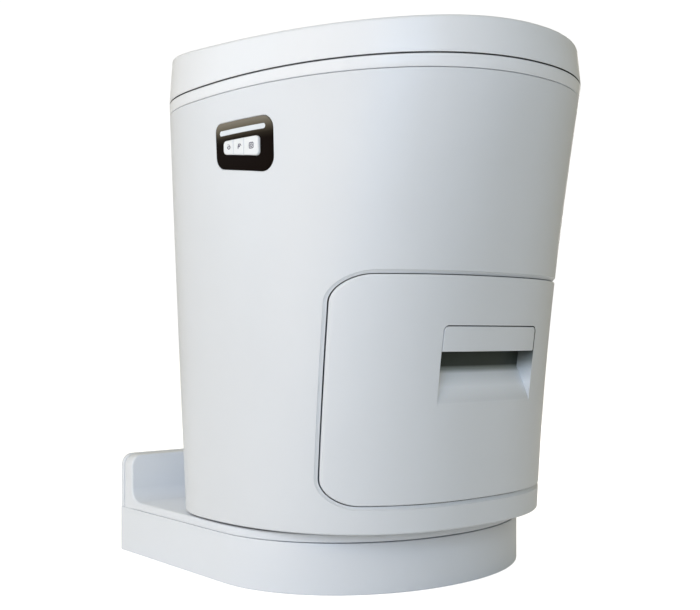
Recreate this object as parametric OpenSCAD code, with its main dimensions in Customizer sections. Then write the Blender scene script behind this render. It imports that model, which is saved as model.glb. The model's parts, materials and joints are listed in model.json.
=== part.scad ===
// Electric bagging toilet: a tapered oval body that turns on a low base, with a
// waste drawer, a film liner, a sealing unit, a seat and a lid.
// Millimetres. +Z is up, the front faces -Y, and the origin is on the floor at
// the centre of the whole footprint.

/* [Body shape] */
// Height of the body's lower edge above the floor
body_z0 = 61; // [60.5:0.1:62]
// Height of the joint between the seat and the lid
seam_z = 493; // [488:1:500]
// Half width of the body at its lower edge
half_w_low = 186.4; // [184:0.2:190]
// Half width of the body at the seat
half_w_top = 191; // [188:0.5:196]
// Extra half width of the body at mid height, below 0 for a waist
half_w_bulge = -3.1; // [-5:0.1:4]
// Y of the widest part of the body at its lower edge
mid_y_low = 46.6; // [44:0.2:48]
// Y of the widest part of the body at the seat
mid_y_top = 51; // [48:0.5:54]
// How far the widest part moves forward at mid height
mid_y_shift = 3.2; // [0:0.1:4]
// Reach of the body in front of its widest part, at its lower edge
front_low = 203.4; // [200:0.2:210]
// Reach of the body in front of its widest part, at the seat
front_top = 283; // [278:1:290]
// Hollow of the front profile at mid height
front_hollow = 12; // [6:1:20]
// Reach of the body behind its widest part, at its lower edge
rear_low = 130; // [126:1:132]
// Reach of the body behind its widest part, at the seat
rear_top = 150; // [146:1:152]
// Extra reach of the rear at mid height
rear_bulge = 5; // [0:0.5:6]
// Squareness of the front outline at the lower edge
front_n_low = 2.43; // [2.2:0.01:2.6]
// Squareness of the front outline at the seat
front_n_top = 2.16; // [2.1:0.01:2.4]
// Extra squareness of the front outline at mid height
front_n_bulge = 0.24; // [0:0.02:0.4]
// Squareness of the rear outline at the lower edge
rear_n_low = 2.3; // [2.1:0.05:2.5]
// Squareness of the rear outline at the seat
rear_n_top = 2.7; // [2.5:0.05:2.9]
// Wall of the body casing
casing_t = 3; // [2.5:0.1:4]
// Thickness of the frame under the seat
frame_t = 4; // [3:0.5:5]
// Least gap between curved faces that seat on each other
curve_gap = 0.3; // [0.2:0.05:0.5]
// Gap between the casing and the seat
seat_gap = 1; // [0.6:0.1:1.5]
// Radius of the rounding along the lower edge of the casing
hem_r = 2; // [1:0.5:2]

/* [Base] */
// How far the sides of the base stay inside the body's lower edge
base_side_in = 4.4; // [2:0.2:8]
// How far the front of the base stays behind the body's lower front edge
base_front_in = 24.8; // [18:0.2:32]
// How far the straight sides of the base run in front of the body's widest part
base_side_l = 22.6; // [6:0.2:32]
// Gap between the body's lower rear edge and the upstand
upstand_gap = 28.4; // [26:0.2:36]
// Squareness of the front of the base
base_n = 2.07; // [2:0.01:2.3]
// Wall of the base
base_wall = 4; // [3:0.5:5]
// Height of the rubber feet under the plinth
foot_h = 1.5; // [1:0.5:3]
// Radius of a rubber foot
foot_r = 11; // [8:1:12]
// Thickness of the plinth's floor
floor_t = 3; // [2:0.5:4]
// Height of the deck's side above the joint with the plinth
deck_h = 8.5; // [7:0.5:12]
// Thickness of the deck plate
deck_t = 3.5; // [2.5:0.5:4.5]
// Height of the upstand above the deck
upstand_h = 51.5; // [42:0.5:60]
// Depth of the upstand with its rear cover
upstand_depth = 25; // [22:1:27]
// Radius of the upper corners of the upstand
upstand_corner_r = 12.5; // [8:0.5:16]
// Radius of the hollow corner between deck and upstand
upstand_fillet_r = 15; // [8:1:16]
// Wall of the upstand
upstand_wall = 4; // [3:0.5:5]
// Thickness of the rear cover
rear_cover_t = 6.6; // [4:0.2:8]
// Wall of the rear cover
rear_cover_wall = 3; // [2:0.5:3.5]
// Gap in front of the rear cover
rear_cover_gap = 0.4; // [0.2:0.1:0.8]
// How far the plinth stands proud behind the rear cover
plinth_step = 2.3; // [1:0.1:3]
// Distance of the rear screw bosses from the base's sides
boss_rear_side = 37; // [30:1:50]
// Distance of the rear screw bosses in front of the upstand
boss_rear_in = 20; // [14:1:30]
// Distance of the front screw bosses from the base's sides
boss_front_side = 70; // [60:1:80]
// Distance of the front screw bosses behind the base's front
boss_front_in = 82; // [76:1:100]
// Radius of a screw boss
boss_r = 7; // [6:0.5:8]
// Radius of the base screws
base_screw_r = 2; // [1.5:0.25:2.5]
// Material left above the base screws
base_screw_cover = 1; // [0.5:0.5:1.5]
// Depth of the heads of the base screws in the plinth's floor
base_screw_in = 0.5; // [0.5:0.5:1]
// Clearance round the screws where they pass through
screw_gap = 0.3; // [0.2:0.05:0.5]
// Distance of the rear feet from the base's sides and back
foot_rear_in = 18; // [13:1:26]
// Distance of the front feet from the base's sides
foot_front_side = 100; // [90:1:110]
// Distance of the front feet behind the base's front
foot_front_in = 48; // [40:1:60]
// Radius of the power inlet's body
inlet_r = 7; // [6:0.5:9]
// Width of the power inlet's rim
inlet_rim = 2; // [1:0.5:3]
// Wall of the power inlet
inlet_wall = 3; // [2:0.5:3.5]
// Depth of the power inlet's body
inlet_depth = 14; // [12:1:16]
// Depth of the power inlet's socket
inlet_socket = 8; // [6:0.5:10]
// Distance of the power inlet from the base's side
inlet_side = 62; // [40:1:90]

/* [Swivel] */
// Y of the upright axis that the body turns about
swivel_y = 30; // [28:1:32]
// Thickness of a glide pad between the deck and the body
pad_h = 2.5; // [2:0.1:3]
// Outer radius of the spigot on the deck
spigot_r = 60; // [50:1:64]
// Wall of the spigot
spigot_wall = 10; // [8:0.5:12]
// Outer radius of the ring that keeps the body on the spigot
retainer_r = 72; // [70:1:80]
// Thickness of the retaining ring
retainer_t = 3; // [2:0.5:4]
// Play between the retaining ring and the bottom pan
retainer_play = 0.3; // [0.2:0.05:0.5]
// Radius of the screws, round the ring and in the drawer front
screw_r = 1.5; // [1.25:0.25:2]
// Height of the heads of those screws
screw_head_h = 2; // [1.5:0.1:2.5]
// Radius of the circle of glide pads
pad_circle_r = 98; // [90:1:105]
// Radius of a glide pad
pad_r = 9; // [6:1:12]
// Thickness of the bottom pan
pan_t = 4; // [3:0.5:5]

/* [Drawer] */
// Distance of the drawer front from the body's side
door_side_in = 35.4; // [34:0.2:45]
// Distance of the drawer front above the body's lower edge
door_up = 27; // [24:1:32]
// Height of the drawer front
door_h = 212; // [206:1:214]
// Corner radius of the drawer front
door_r = 25; // [18:1:30]
// Gap between the drawer front and the casing
door_gap = 0.9; // [0.5:0.1:1.4]
// Thickness of the drawer front
door_t = 3.5; // [3:0.1:4]
// How far the drawer closes behind the body's surface at its lower corners
frame_in = 7.9; // [7.6:0.1:12]
// Thickness of the drawer gasket
gasket_t = 2.5; // [2:0.1:3]
// Width of the drawer gasket
gasket_w = 5; // [4:0.5:5.5]
// Outer corner radius of the drawer gasket
gasket_r = 12; // [9:0.5:16]
// Overlap of the gasket beyond the sides of the drawer bay
seal_side = 7.5; // [6:0.5:9]
// Overlap of the gasket below the drawer bay
seal_low = 3.5; // [2:0.5:5]
// Overlap of the gasket above the drawer bay
seal_top = 4.5; // [3:0.5:6]
// Border of the frame round the gasket
frame_border = 2.5; // [2:0.5:4]
// Border of the drawer's inner panel round the gasket
inner_border = 0.5; // [0:0.1:1]
// Thickness of the flat panel inside the drawer front
door_inner_t = 3; // [2:0.5:3.5]
// Distance of the drawer bay's sides from the edge of the drawer front
bay_side_in = 13; // [12:0.5:20]
// Distance of the drawer bay's bottom above the edge of the drawer front
bay_low_in = 8; // [7:0.5:14]
// Distance of the drawer bay's top below the edge of the drawer front
bay_top_in = 10; // [9:0.5:16]
// Room between the chassis and the body's rear at the chassis corners
bay_rear_room = 10.2; // [8:0.2:16]
// Thickness of the chassis plates
chassis_t = 3; // [2:0.5:3.5]
// Distance of the front columns behind the frame
column_front_in = 50; // [46:1:60]
// Distance of the rear columns in front of the rear of the bay
column_rear_in = 62; // [40:1:80]
// Radius of the chassis columns
column_r = 9; // [6:0.5:10]
// Distance of the column axes outside the drawer bay
column_out = 11; // [8:0.5:14]
// Wall of the waste bin
bin_wall = 2.5; // [1.5:0.5:3]
// Clearance between the sides of the waste bin and the tray
bin_side_gap = 8.7; // [4:0.1:12]
// Clearance between the front of the waste bin and the tray
bin_front_gap = 2.8; // [1:0.1:5]
// Clearance between the rear of the waste bin and the tray
bin_rear_gap = 1; // [0.5:0.1:5]
// Headroom above the waste bin
bin_headroom = 6; // [4:1:40]
// Corner radius of the waste bin
bin_r = 18; // [8:1:30]
// Width of the rim round the waste bin
bin_rim = 2; // [1:0.5:3]
// Height of the rim round the waste bin
bin_rim_h = 6; // [3:0.5:12]
// Wall of the drawer tray
tray_wall = 2.2; // [1.5:0.1:2.4]
// Height of the side walls of the drawer tray
tray_h = 52; // [46:1:70]
// Clearance under the drawer tray
tray_gap = 2; // [1:0.5:3]
// Clearance behind the drawer tray
tray_rear_gap = 6; // [4:0.5:12]
// Height of the middle of the runners above the bottom of the bay
runner_up = 29; // [22:1:34]
// Height of a runner rail
runner_h = 31; // [28:1:34]
// Distance between the runner rails and the rear of the bay
runner_rear_gap = 9; // [8:1:30]
// Thickness of a runner rail
runner_t = 1.5; // [1.2:0.1:1.6]
// Clearance between the runner members
runner_gap = 0.3; // [0.2:0.05:0.35]
// Distance of the drawer screws from the sides of the bay
post_side_in = 33; // [25:1:45]
// Distance of the drawer screws from the upper and lower edges of the drawer front
post_in = 30; // [24:1:40]
// Radius of the posts for the drawer screws
post_r = 6; // [4:0.5:7]
// Depth of the drawer screws in their posts
post_depth = 12; // [8:1:14]

/* [Handle] */
// Half width of the grip and its recess
grip_half_w = 65; // [55:1:70]
// Distance of the grip opening below the top of the drawer front
grip_down = 46; // [44:0.5:60]
// Height of the grip opening with its recess
grip_h = 72; // [64:1:76]
// Height of the paddle with the gap above it
paddle_h = 24.5; // [21:0.5:28]
// Radius of the upper corners of the grip opening
grip_r = 6; // [3:0.5:8]
// Rise of the sloping floor of the recess
grip_rise = 33; // [23:1:38]
// Radius of the paddle's lower corners
paddle_r = 1.5; // [0.5:0.5:3]
// Depth of the recess behind the surface
grip_depth = 19; // [15:0.5:21]
// Wall behind the recess
grip_wall = 2.2; // [1.8:0.1:3]
// Gap round the paddle
paddle_gap = 0.9; // [0.8:0.1:1.2]
// Thickness of the paddle
paddle_t = 8; // [7.5:0.1:8.5]
// Radius of the paddle's hinge pin
paddle_pin_r = 1.2; // [1:0.1:1.3]
// Depth of the paddle's hinge pin behind the surface
paddle_pin_depth = 3.4; // [3.2:0.1:3.6]
// Distance of the hinge pin below the top of the paddle
paddle_pin_drop = 3.6; // [3.2:0.1:4]
// Distance of the two ears that hold the hinge pin from the middle
ear_x = 10; // [6:0.5:30]
// Width of an ear
ear_w = 4; // [3:0.5:6]
// Play of the paddle along its hinge pin
ear_play = 0.5; // [0.3:0.05:0.8]
// Reach of an ear in front of the hinge pin
ear_front = 1.6; // [1.6:0.1:2]
// Reach of an ear below the hinge pin
ear_low = 2.5; // [2:0.1:3]
// Clearance in front of an ear
ear_gap = 0.7; // [0.65:0.05:0.85]
// Clearance below an ear, in which the paddle turns
ear_room = 1.5; // [1.2:0.1:2]
// Half width of the latch bolt
bolt_half_w = 8; // [5:0.5:12]
// Thickness of the latch bolt
bolt_t = 6; // [4:0.5:8]
// Half width of the latch bolt's foot
bolt_foot_half_w = 12; // [10:0.5:16]
// Height of the latch bolt's foot
bolt_foot_h = 6; // [4:0.5:8]
// Room under the latch bolt
bolt_room = 6; // [5.5:0.5:8]
// Distance of the latch bolt in front of the recess's back wall
bolt_in = 8; // [6:0.5:9]
// Height of the latch bolt's guide
guide_h = 18; // [12:1:20]
// Distance of the guide above the foot of the latch bolt
guide_up = 6; // [5.5:0.5:8]
// Wall of the guide beside the latch bolt
guide_wall = 5.7; // [3:0.1:8]
// Clearance round the latch bolt in its guide
guide_gap = 0.3; // [0.2:0.05:0.5]
// Gap between the latch bolt and the upper edge of the drawer front
bolt_top_gap = 0.5; // [0.3:0.1:1]

/* [Control panel] */
// Y of the rear edge of the control panel at its top
panel_y1 = 23; // [18:0.5:27]
// Y of the front edge of the control panel
panel_y0 = -57.5; // [-62:0.5:-53]
// Distance of the top of the control panel below the casing's upper edge
panel_down = 29.4; // [26:0.2:34]
// Height of the control panel at its front edge
panel_h = 54; // [51:0.5:58]
// Rise of the panel's lower edge towards the rear
panel_rise = 11; // [0:0.5:13]
// How far the panel's rear edge leans forward at its bottom
panel_lean = 1; // [0:0.5:8]
// Corner radius of the control panel
panel_r = 13; // [6:1:14]
// Radius of its upper rear corner
panel_rear_r = 8; // [4:1:14]
// How far the control panel stands proud of the casing
panel_proud = 0.6; // [0.3:0.1:1]
// Thickness of the flange behind the control panel
panel_flange_t = 2; // [1.5:0.1:3]
// Width of that flange round the panel
panel_flange_w = 4; // [3:0.5:6]
// Distance of the light bar's middle below the top of the panel
bar_down = 10; // [8:0.5:12]
// Depth of the light bar in the panel
bar_depth = 1.6; // [1:0.1:2]
// Height of the light bar
bar_h = 5; // [4:0.2:6]
// Y of the front end of the light bar
bar_y0 = -49; // [-52:0.5:-44]
// Y of the rear end of the light bar
bar_y1 = 15.5; // [10:0.5:16.5]
// Distance of the top of the keys below the top of the panel
key_down = 18.3; // [17:0.1:20]
// Height of the keys at their front end
key_h = 19.2; // [16:0.2:22]
// Rise of the keys' lower edge towards the rear
key_rise = 6.5; // [0:0.5:8]
// Y of the front end of the keys
key_y0 = -42.5; // [-45:0.5:-40]
// Y of the joint between the front key and the middle key
key_joint_a = -22.5; // [-24.5:0.5:-20.5]
// Y of the joint between the middle key and the rear key
key_joint_b = -7.5; // [-9.5:0.5:-5.5]
// Y of the rear end of the keys
key_y1 = 7.5; // [5.5:0.5:10.5]
// Outer corner radius of the keys
key_r = 4; // [2:0.5:5]
// How far the keys stand proud of the control panel
key_proud = 2.4; // [2:0.1:3]
// Gap round a key
key_gap = 0.25; // [0.2:0.05:0.4]
// Travel of a key
key_travel = 1.5; // [1:0.1:1.8]
// Thickness of the lip that holds a key behind the panel
key_lip_t = 1.2; // [0.8:0.1:1.5]
// Width of that lip above and below a key
key_lip_w = 1.5; // [1:0.1:2]
// Radius of the corners between the keys
key_joint_r = 0.4; // [0.2:0.1:1]
// Gap between a pressed key and its switch
switch_gap = 0.4; // [0.2:0.1:0.6]
// Width and height of a switch
switch_w = 6; // [4:0.5:7]
// Distance of the switches below the top of the keys
switch_down = 6; // [4:0.5:8]
// Depth of the control board behind the panel's front lower corner
board_depth = 13; // [12.5:0.5:14]
// Margin between the control board and the panel's outline
board_in = 6; // [5:0.5:9]
// Distance of the board's posts from its edges
board_post_in = 5; // [4:0.5:6]
// Thickness of the control board
board_t = 1.6; // [1:0.1:2]
// Radius of the posts that carry the control board
board_post_r = 2.5; // [1.5:0.25:3]

/* [Seat and lid] */
// Width of the seat beside its opening
seat_side_w = 93; // [87:1:100]
// Width of the seat in front of its opening
seat_front_w = 92; // [84:1:100]
// Width of the seat behind its opening
seat_rear_w = 65; // [60:1:75]
// Squareness of the seat opening
hole_n = 2.3; // [2:0.1:2.6]
// Thickness of the seat
seat_h = 11; // [9:0.5:12]
// Radius of the rounding along the seat's upper edge
seat_edge_r = 2.5; // [1:0.5:4]
// Distance of the seat's rear edge in front of the hinge axis
seat_hinge_gap = 10; // [9:0.5:13]
// Thickness of the seat's hinge arms
seat_arm_t = 8; // [6:0.5:9]
// Gap between the seat and the lid
lid_gap = 1.2; // [0.8:0.1:1.6]
// Height of the lid where it is lowest
lid_h = 33; // [30:0.5:36]
// Crown of the lid
lid_crown = 2; // [1:0.5:5]
// Extra height of the lid at its rear
lid_rise = 23.3; // [10:0.1:26]
// Extra height of the lid at its front
lid_front_rise = 3.1; // [0:0.1:6]
// Y where the lid is lowest
lid_low_y = -140; // [-160:5:-100]
// Draft of the lid's side
lid_draft = 3; // [0:0.5:4]
// Wall of the lid
lid_wall = 3; // [2.5:0.1:4]
// Radius of the rounding along the upper edge of the lid
lid_edge_r = 4; // [3:0.5:8]
// Small chamfer along the lower edge of the lid
lid_chamfer = 0.8; // [0.4:0.1:1.2]
// Thickness of the panel inside the lid
lid_inner_t = 2; // [1.5:0.5:3]
// Height of that panel above the lid's lower edge
lid_inner_up = 1; // [0.5:0.5:4]
// Distance of that panel's rear edge in front of the hinge axis
lid_inner_back = 24; // [18:1:30]
// Length of the lid's hinge arms on that panel
lid_arm_l = 30; // [20:1:50]
// Thickness of the lid's hinge arms
lid_arm_t = 6; // [4:0.5:6.5]
// Distance of the hinge axis in front of the body's rear
hinge_in = 16; // [15:0.1:16.5]
// Height of the hinge axis above the lid's lower edge
hinge_up = 6.4; // [5.9:0.1:7.4]
// Radius of the hinge pin
hinge_pin_r = 4; // [3:0.25:4.5]
// Radius of a hinge knuckle
knuckle_r = 6.5; // [6:0.1:6.8]
// Width of a hinge knuckle
knuckle_w = 14; // [10:0.5:15]
// X of the middle of the body's hinge knuckles
post_x = 40; // [30:1:44]
// Gap between hinge knuckles
knuckle_gap = 1; // [0.5:0.1:2]
// Clearance of the lid beside the hinge
hinge_side_gap = 2; // [1:0.5:4]
// Clearance of the lid above the hinge
hinge_top_gap = 5; // [4:0.5:8]
// Radius of the seat's bumpers
seat_bumper_r = 6; // [4:0.5:8]
// Radius of the lid's bumpers
lid_bumper_r = 5; // [3:0.5:7]
// Distance of the rear bumpers from the side of the seat opening
bumper_rear_out = 42; // [30:1:60]
// Distance of the rear bumpers in front of the widest part of the seat
bumper_rear_in = 11; // [0:1:30]
// Distance of the front bumpers from the side of the seat opening
bumper_front_out = 22; // [15:1:28]
// Distance of the front bumpers in front of the widest part of the seat
bumper_front_in = 141; // [120:1:150]
// Running clearance round pins, rods and spigot
run_gap = 0.05; // [0.03:0.01:0.08]

/* [Liner] */
// Step from the seat opening out to the liner opening
liner_step = 4; // [2:0.5:6]
// Wall of the liner cassette
cassette_wall = 2; // [1.5:0.25:2.5]
// Height of the liner cassette
cassette_h = 33.4; // [28:0.2:38]
// Width of the liner cassette
cassette_w = 19; // [16:0.5:21]
// Clearance above the liner cassette
cassette_top_gap = 2; // [1:0.5:4]
// Clearance round the liner cassette
cassette_gap = 0.5; // [0.3:0.1:1]
// Wall of the well that holds the liner cassette
well_wall = 2.5; // [2:0.5:4]
// Thickness of the floor of that well
shelf_t = 3; // [2:0.5:4]
// Height of the folded liner in the cassette
pack_h = 23.4; // [10:0.2:28]
// Clearance between the folded liner and the cassette's walls
pack_gap = 1; // [0.5:0.1:2]
// Gap between the liner pouch and the cassette
pouch_gap = 0.4; // [0.2:0.1:1]
// Distance of the bottom of the liner pouch above the sealing unit
pouch_up = 21; // [15:1:40]
// Thickness of the liner film
film_t = 0.6; // [0.5:0.1:1]
// Wall of the chute
chute_wall = 2; // [1.5:0.5:3]
// Corner radius of the chute
chute_r = 20; // [10:1:30]
// How far the sides of the chute stay inside the sealing strips
chute_side_in = 8; // [4:1:14]
// How far the ends of the chute stay inside the open jaws
chute_end_in = 10; // [4:1:14]
// Gap between the chute and the jaws
chute_gap = 4; // [2:0.5:8]
// Reach of the chute below the roof of the drawer bay
chute_low = 2; // [0:0.5:3]
// Width of the chute's flange
chute_flange_w = 8; // [5:0.5:9]
// Thickness of the chute's flange
chute_flange_t = 2; // [1.5:0.1:3]
// Clearance round the chute
chute_fit = 0.5; // [0.3:0.1:1]

/* [Sealing unit] */
// Y where the two jaws meet
jaw_mid_y = -10; // [-12:1:-8]
// Distance of each open jaw from the middle
jaw_open = 72; // [68:0.5:74]
// How much shorter a jaw is at each end than the drawer bay
jaw_side_in = 24; // [22:0.5:30]
// Depth of a jaw
jaw_d = 14; // [12:0.5:15]
// Height of the jaws above the roof of the drawer bay
jaw_up = 42; // [38:1:50]
// Height of a jaw
jaw_h = 26; // [24:0.5:30]
// Thickness of the sealing strips
strip_t = 3; // [2:0.5:3]
// How far the sealing strips end inside the guide rods
strip_in = 10; // [6:0.5:14]
// Height of the silicone strip
silicone_h = 14; // [8:0.5:20]
// Height of the heater bar
heater_h = 6; // [3:0.5:10]
// Distance of the guide rods and lead screws from the ends of a jaw
rod_side_in = 8; // [6:0.5:10]
// Distance of the guide rods and lead screws from a jaw's edges
rod_edge_in = 6.5; // [5.5:0.25:7.5]
// Radius of a guide rod
rod_r = 3.5; // [3:0.25:4]
// Radius of a lead screw
lead_r = 3; // [2.5:0.25:3.5]
// Reach of the lead screws in front of the unit
lead_front = 2; // [1:0.5:4]
// Reach of the lead screws into their motors
lead_rear = 4; // [3:0.5:6]
// Clearance at the end of the lead screws
lead_end_gap = 1; // [0.5:0.5:2]
// Thickness of the sealing unit's plates
plate_t = 3; // [2:0.5:3.5]
// Thickness of the sealing unit's floor
unit_floor_t = 5; // [3:0.5:6]
// Clearance between the ends of the jaws and the unit
unit_side_gap = 0.6; // [0.4:0.1:1]
// Room behind and in front of the open jaws
unit_room = 14; // [10:1:18]
// Height of the unit above the jaws
unit_top_gap = 2; // [1:0.5:4]
// Width of the unit's floor along its sides
unit_side_floor = 12; // [8:0.5:14]
// Width of the unit's floor along its ends
unit_end_floor = 6; // [4:0.5:10]
// Radius of a jaw motor
motor_r = 11; // [9:0.5:12]
// Length of a jaw motor with its gears
motor_l = 30; // [20:1:36]
// Radius of a jaw motor's gearbox
gearbox_r = 14; // [12:0.5:15]
// Length of a jaw motor's gearbox
gearbox_l = 9; // [7:0.5:14]

/* [Hidden] */
columns = 72;
eps = 0.02;
far = 1000;
white = [0.9, 0.92, 0.94];
grey = [0.62, 0.65, 0.68];
dark = [0.12, 0.12, 0.13];
steel = [0.7, 0.72, 0.74];
half_w_fit = min(half_w_low, half_w_top);
deck_top = body_z0 - pad_h;
plinth_top = deck_top - deck_h;
upstand_top = deck_top + upstand_h;
seat_z1 = seam_z - lid_gap / 2;
seat_z0 = seat_z1 - seat_h;
casing_z1 = seat_z0 - seat_gap;
lid_z0 = seam_z + lid_gap / 2;
body_rear_y = mid_y_top + rear_top;
frame_fit = 0.2;
spigot_top = body_z0 + pan_t + retainer_play;
hinge_y = body_rear_y - hinge_in;
hinge_z = lid_z0 + hinge_up;
seat_rear_y = hinge_y - seat_hinge_gap;
door_half_w = half_w_fit - door_side_in;
door_z0 = body_z0 + door_up;
door_z1 = door_z0 + door_h;
bay_half_w = door_half_w - bay_side_in;
bay_z0 = door_z0 + bay_low_in;
bay_z1 = door_z1 - bay_top_in;
roof_z = bay_z1 + chassis_t;
cassette_top = casing_z1 - frame_t - cassette_top_gap;
cassette_z0 = cassette_top - cassette_h;
shelf_z = cassette_z0 - shelf_t;
panel_z1 = casing_z1 - panel_down;
panel_z0 = panel_z1 - panel_h;

// Shape of the body at one height

function mix(a, b, t) = a + (b - a) * t;
function rise(z) = min(1, max(0, (z - body_z0) / (seam_z - body_z0)));
function bell(z) = 4 * rise(z) * (1 - rise(z));
function half_w(z) = mix(half_w_low, half_w_top, rise(z)) + half_w_bulge * bell(z);
function mid_y(z) = mix(mid_y_low, mid_y_top, rise(z)) + mid_y_shift * bell(z);
function front_l(z) = mix(front_low, front_top, rise(z)) - front_hollow * bell(z);
function rear_l(z) = mix(rear_low, rear_top, rise(z)) + rear_bulge * bell(z);
function front_n(z) = mix(front_n_low, front_n_top, rise(z)) + front_n_bulge * bell(z);
function rear_n(z) = mix(rear_n_low, rear_n_top, rise(z));
function spow(v, e) = sign(v) * pow(abs(v), e);

// Point at angle a of a superellipse with half axes w and l, moved in by inset
function oval_pt(w, l, n, a, inset) =
    let (c = cos(a), s = sin(a))
    let (nx = spow(c, 2 - 2 / n) / w, ny = spow(s, 2 - 2 / n) / l)
    let (m = norm([nx, ny]))
    [w * spow(c, 2 / n) - inset * nx / m, l * spow(s, 2 / n) - inset * ny / m];
function body_pt(z, a, inset) =
    let (front = sin(a) < 0)
    let (p = oval_pt(half_w(z), front ? front_l(z) : rear_l(z),
        front ? front_n(z) : rear_n(z), a, inset))
    [p[0], p[1] + mid_y(z)];
function body_ring(z, inset) =
    [for (i = [0:columns - 1]) let (p = body_pt(z, 360 * i / columns, inset)) [p[0], p[1], z]];
function flat_ring(z, inset) = [for (p = body_ring(z, inset)) [p[0], p[1]]];

// Y of the front surface and X of the side surface
function front_y(x, z) =
    mid_y(z) - front_l(z) * pow(1 - pow(abs(x) / half_w(z), front_n(z)), 1 / front_n(z));
function side_x(y, z) =
    let (n = y < mid_y(z) ? front_n(z) : rear_n(z), l = y < mid_y(z) ? front_l(z) : rear_l(z))
    half_w(z) * pow(1 - pow(abs(y - mid_y(z)) / l, n), 1 / n);

function rear_y(x, z) =
    mid_y(z) + rear_l(z) * pow(1 - pow(abs(x) / half_w(z), rear_n(z)), 1 / rear_n(z));

// Seat opening and rings that follow it
hole_half_w = half_w_top - seat_side_w;
hole_y0 = mid_y_top - front_top + seat_front_w;
hole_y1 = seat_rear_y - seat_rear_w;
hole_half_l = (hole_y1 - hole_y0) / 2;
hole_y = (hole_y0 + hole_y1) / 2;
function hole_pts(grow) =
    [for (i = [0:columns - 1])
        let (p = oval_pt(hole_half_w, hole_half_l, hole_n, 360 * i / columns, -grow))
        [p[0], p[1] + hole_y]];

// Base outline: straight sides, flat back and an oval front
function base_pts(inset, rear_y) =
    concat([[base_half_w - inset, rear_y - inset], [-base_half_w + inset, rear_y - inset]],
        [for (i = [0:columns / 2])
            let (p = oval_pt(base_half_w, base_front, base_n, 180 + 360 * i / columns, inset))
            [p[0], p[1] + base_side_y]]);

// Polygon with each corner rounded by its own radius
function unit(v) = v / norm(v);
function round_poly(pts, radii, steps = 6) =
    [for (i = [0:len(pts) - 1])
        let (b = pts[i], a = pts[(i + len(pts) - 1) % len(pts)], c = pts[(i + 1) % len(pts)])
        let (r = radii[i], u = unit(a - b), v = unit(c - b))
        let (half = acos(u * v) / 2, m = b + unit(u + v) * r / sin(half))
        let (s = b + u * r / tan(half) - m, e = b + v * r / tan(half) - m)
        for (k = [0:steps]) m + r * unit(mix(s, e, k / steps))];

// Closed solid through a list of rings. ends: "loop" joins the last ring to the
// first, "flat" closes both ends with a fan round the ring's own centre.
function ring_mid(r) =
    let (n = len(r)) [for (k = [0:2]) [for (p = r) p[k]] * [for (p = r) 1 / n]];
module skin(rings, ends) {
    n = len(rings[0]);
    m = len(rings);
    loop = ends == "loop";
    sides = [for (j = [0:loop ? m - 1 : m - 2]) for (i = [0:n - 1])
        let (a = j * n + i, b = j * n + (i + 1) % n)
        let (c = ((j + 1) % m) * n + (i + 1) % n, d = ((j + 1) % m) * n + i)
        for (f = [[a, c, b], [a, d, c]]) f];
    fan_a = [for (i = [0:n - 1]) [m * n, i, (i + 1) % n]];
    fan_b = [for (i = [0:n - 1]) [m * n + 1, (m - 1) * n + (i + 1) % n, (m - 1) * n + i]];
    pts = [for (r = rings) for (p = r) p];
    if (loop)
        polyhedron(pts, sides);
    else
        polyhedron(concat(pts, [ring_mid(rings[0]), ring_mid(rings[m - 1])]),
            concat(sides, fan_a, fan_b));
}

levels = 9;
body_levels = [for (i = [1:levels]) mix(body_z0 + hem_r, casing_z1, i / (levels + 1))];
module body_solid(inset) {
    skin([for (z = concat([body_z0], body_levels, [casing_z1])) body_ring(z, inset)], "flat");
}
module body_wall(t) {
    outer = concat([body_ring(body_z0, hem_r), body_ring(body_z0 + hem_r * 0.3, hem_r * 0.3),
        body_ring(body_z0 + hem_r, 0)], [for (z = body_levels) body_ring(z, 0)],
        [body_ring(casing_z1, 0)]);
    inner = [for (z = concat([casing_z1], [for (i = [len(body_levels) - 1:-1:0]) body_levels[i]],
        [body_z0])) body_ring(z, t)];
    skin(concat(outer, inner), "loop");
}

// Prisms that look along Y or along X
module along_y(pts, y0, y1) {
    translate([0, y1, 0])
        rotate([90, 0, 0])
            linear_extrude(y1 - y0)
                polygon(pts);
}
module along_x(pts, x0, x1) {
    translate([x0, 0, 0])
        rotate([90, 0, 90])
            linear_extrude(x1 - x0)
                polygon(pts);
}
module up(pts, z0, z1) {
    translate([0, 0, z0])
        linear_extrude(z1 - z0)
            polygon(pts);
}
module rod_x_axis(r, x0, x1, y, z) {
    translate([x0, y, z])
        rotate([0, 90, 0])
            cylinder(r = r, h = x1 - x0, $fn = 48);
}
module rod_y_axis(r, y0, y1, x, z) {
    translate([x, y1, z])
        rotate([90, 0, 0])
            cylinder(r = r, h = y1 - y0, $fn = 48);
}
module post(r, z0, z1, x, y) {
    translate([x, y, z0])
        cylinder(r = r, h = z1 - z0, $fn = 48);
}
module block(x0, x1, y0, y1, z0, z1) {
    translate([x0, y0, z0])
        cube([x1 - x0, y1 - y0, z1 - z0]);
}
module both_sides() {
    children();
    mirror([1, 0, 0])
        children();
}
function rect(x0, x1, y0, y1) = [[x0, y0], [x1, y0], [x1, y1], [x0, y1]];
function round_rect(x0, x1, y0, y1, r) = round_poly(rect(x0, x1, y0, y1), [r, r, r, r]);

// Base

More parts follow.
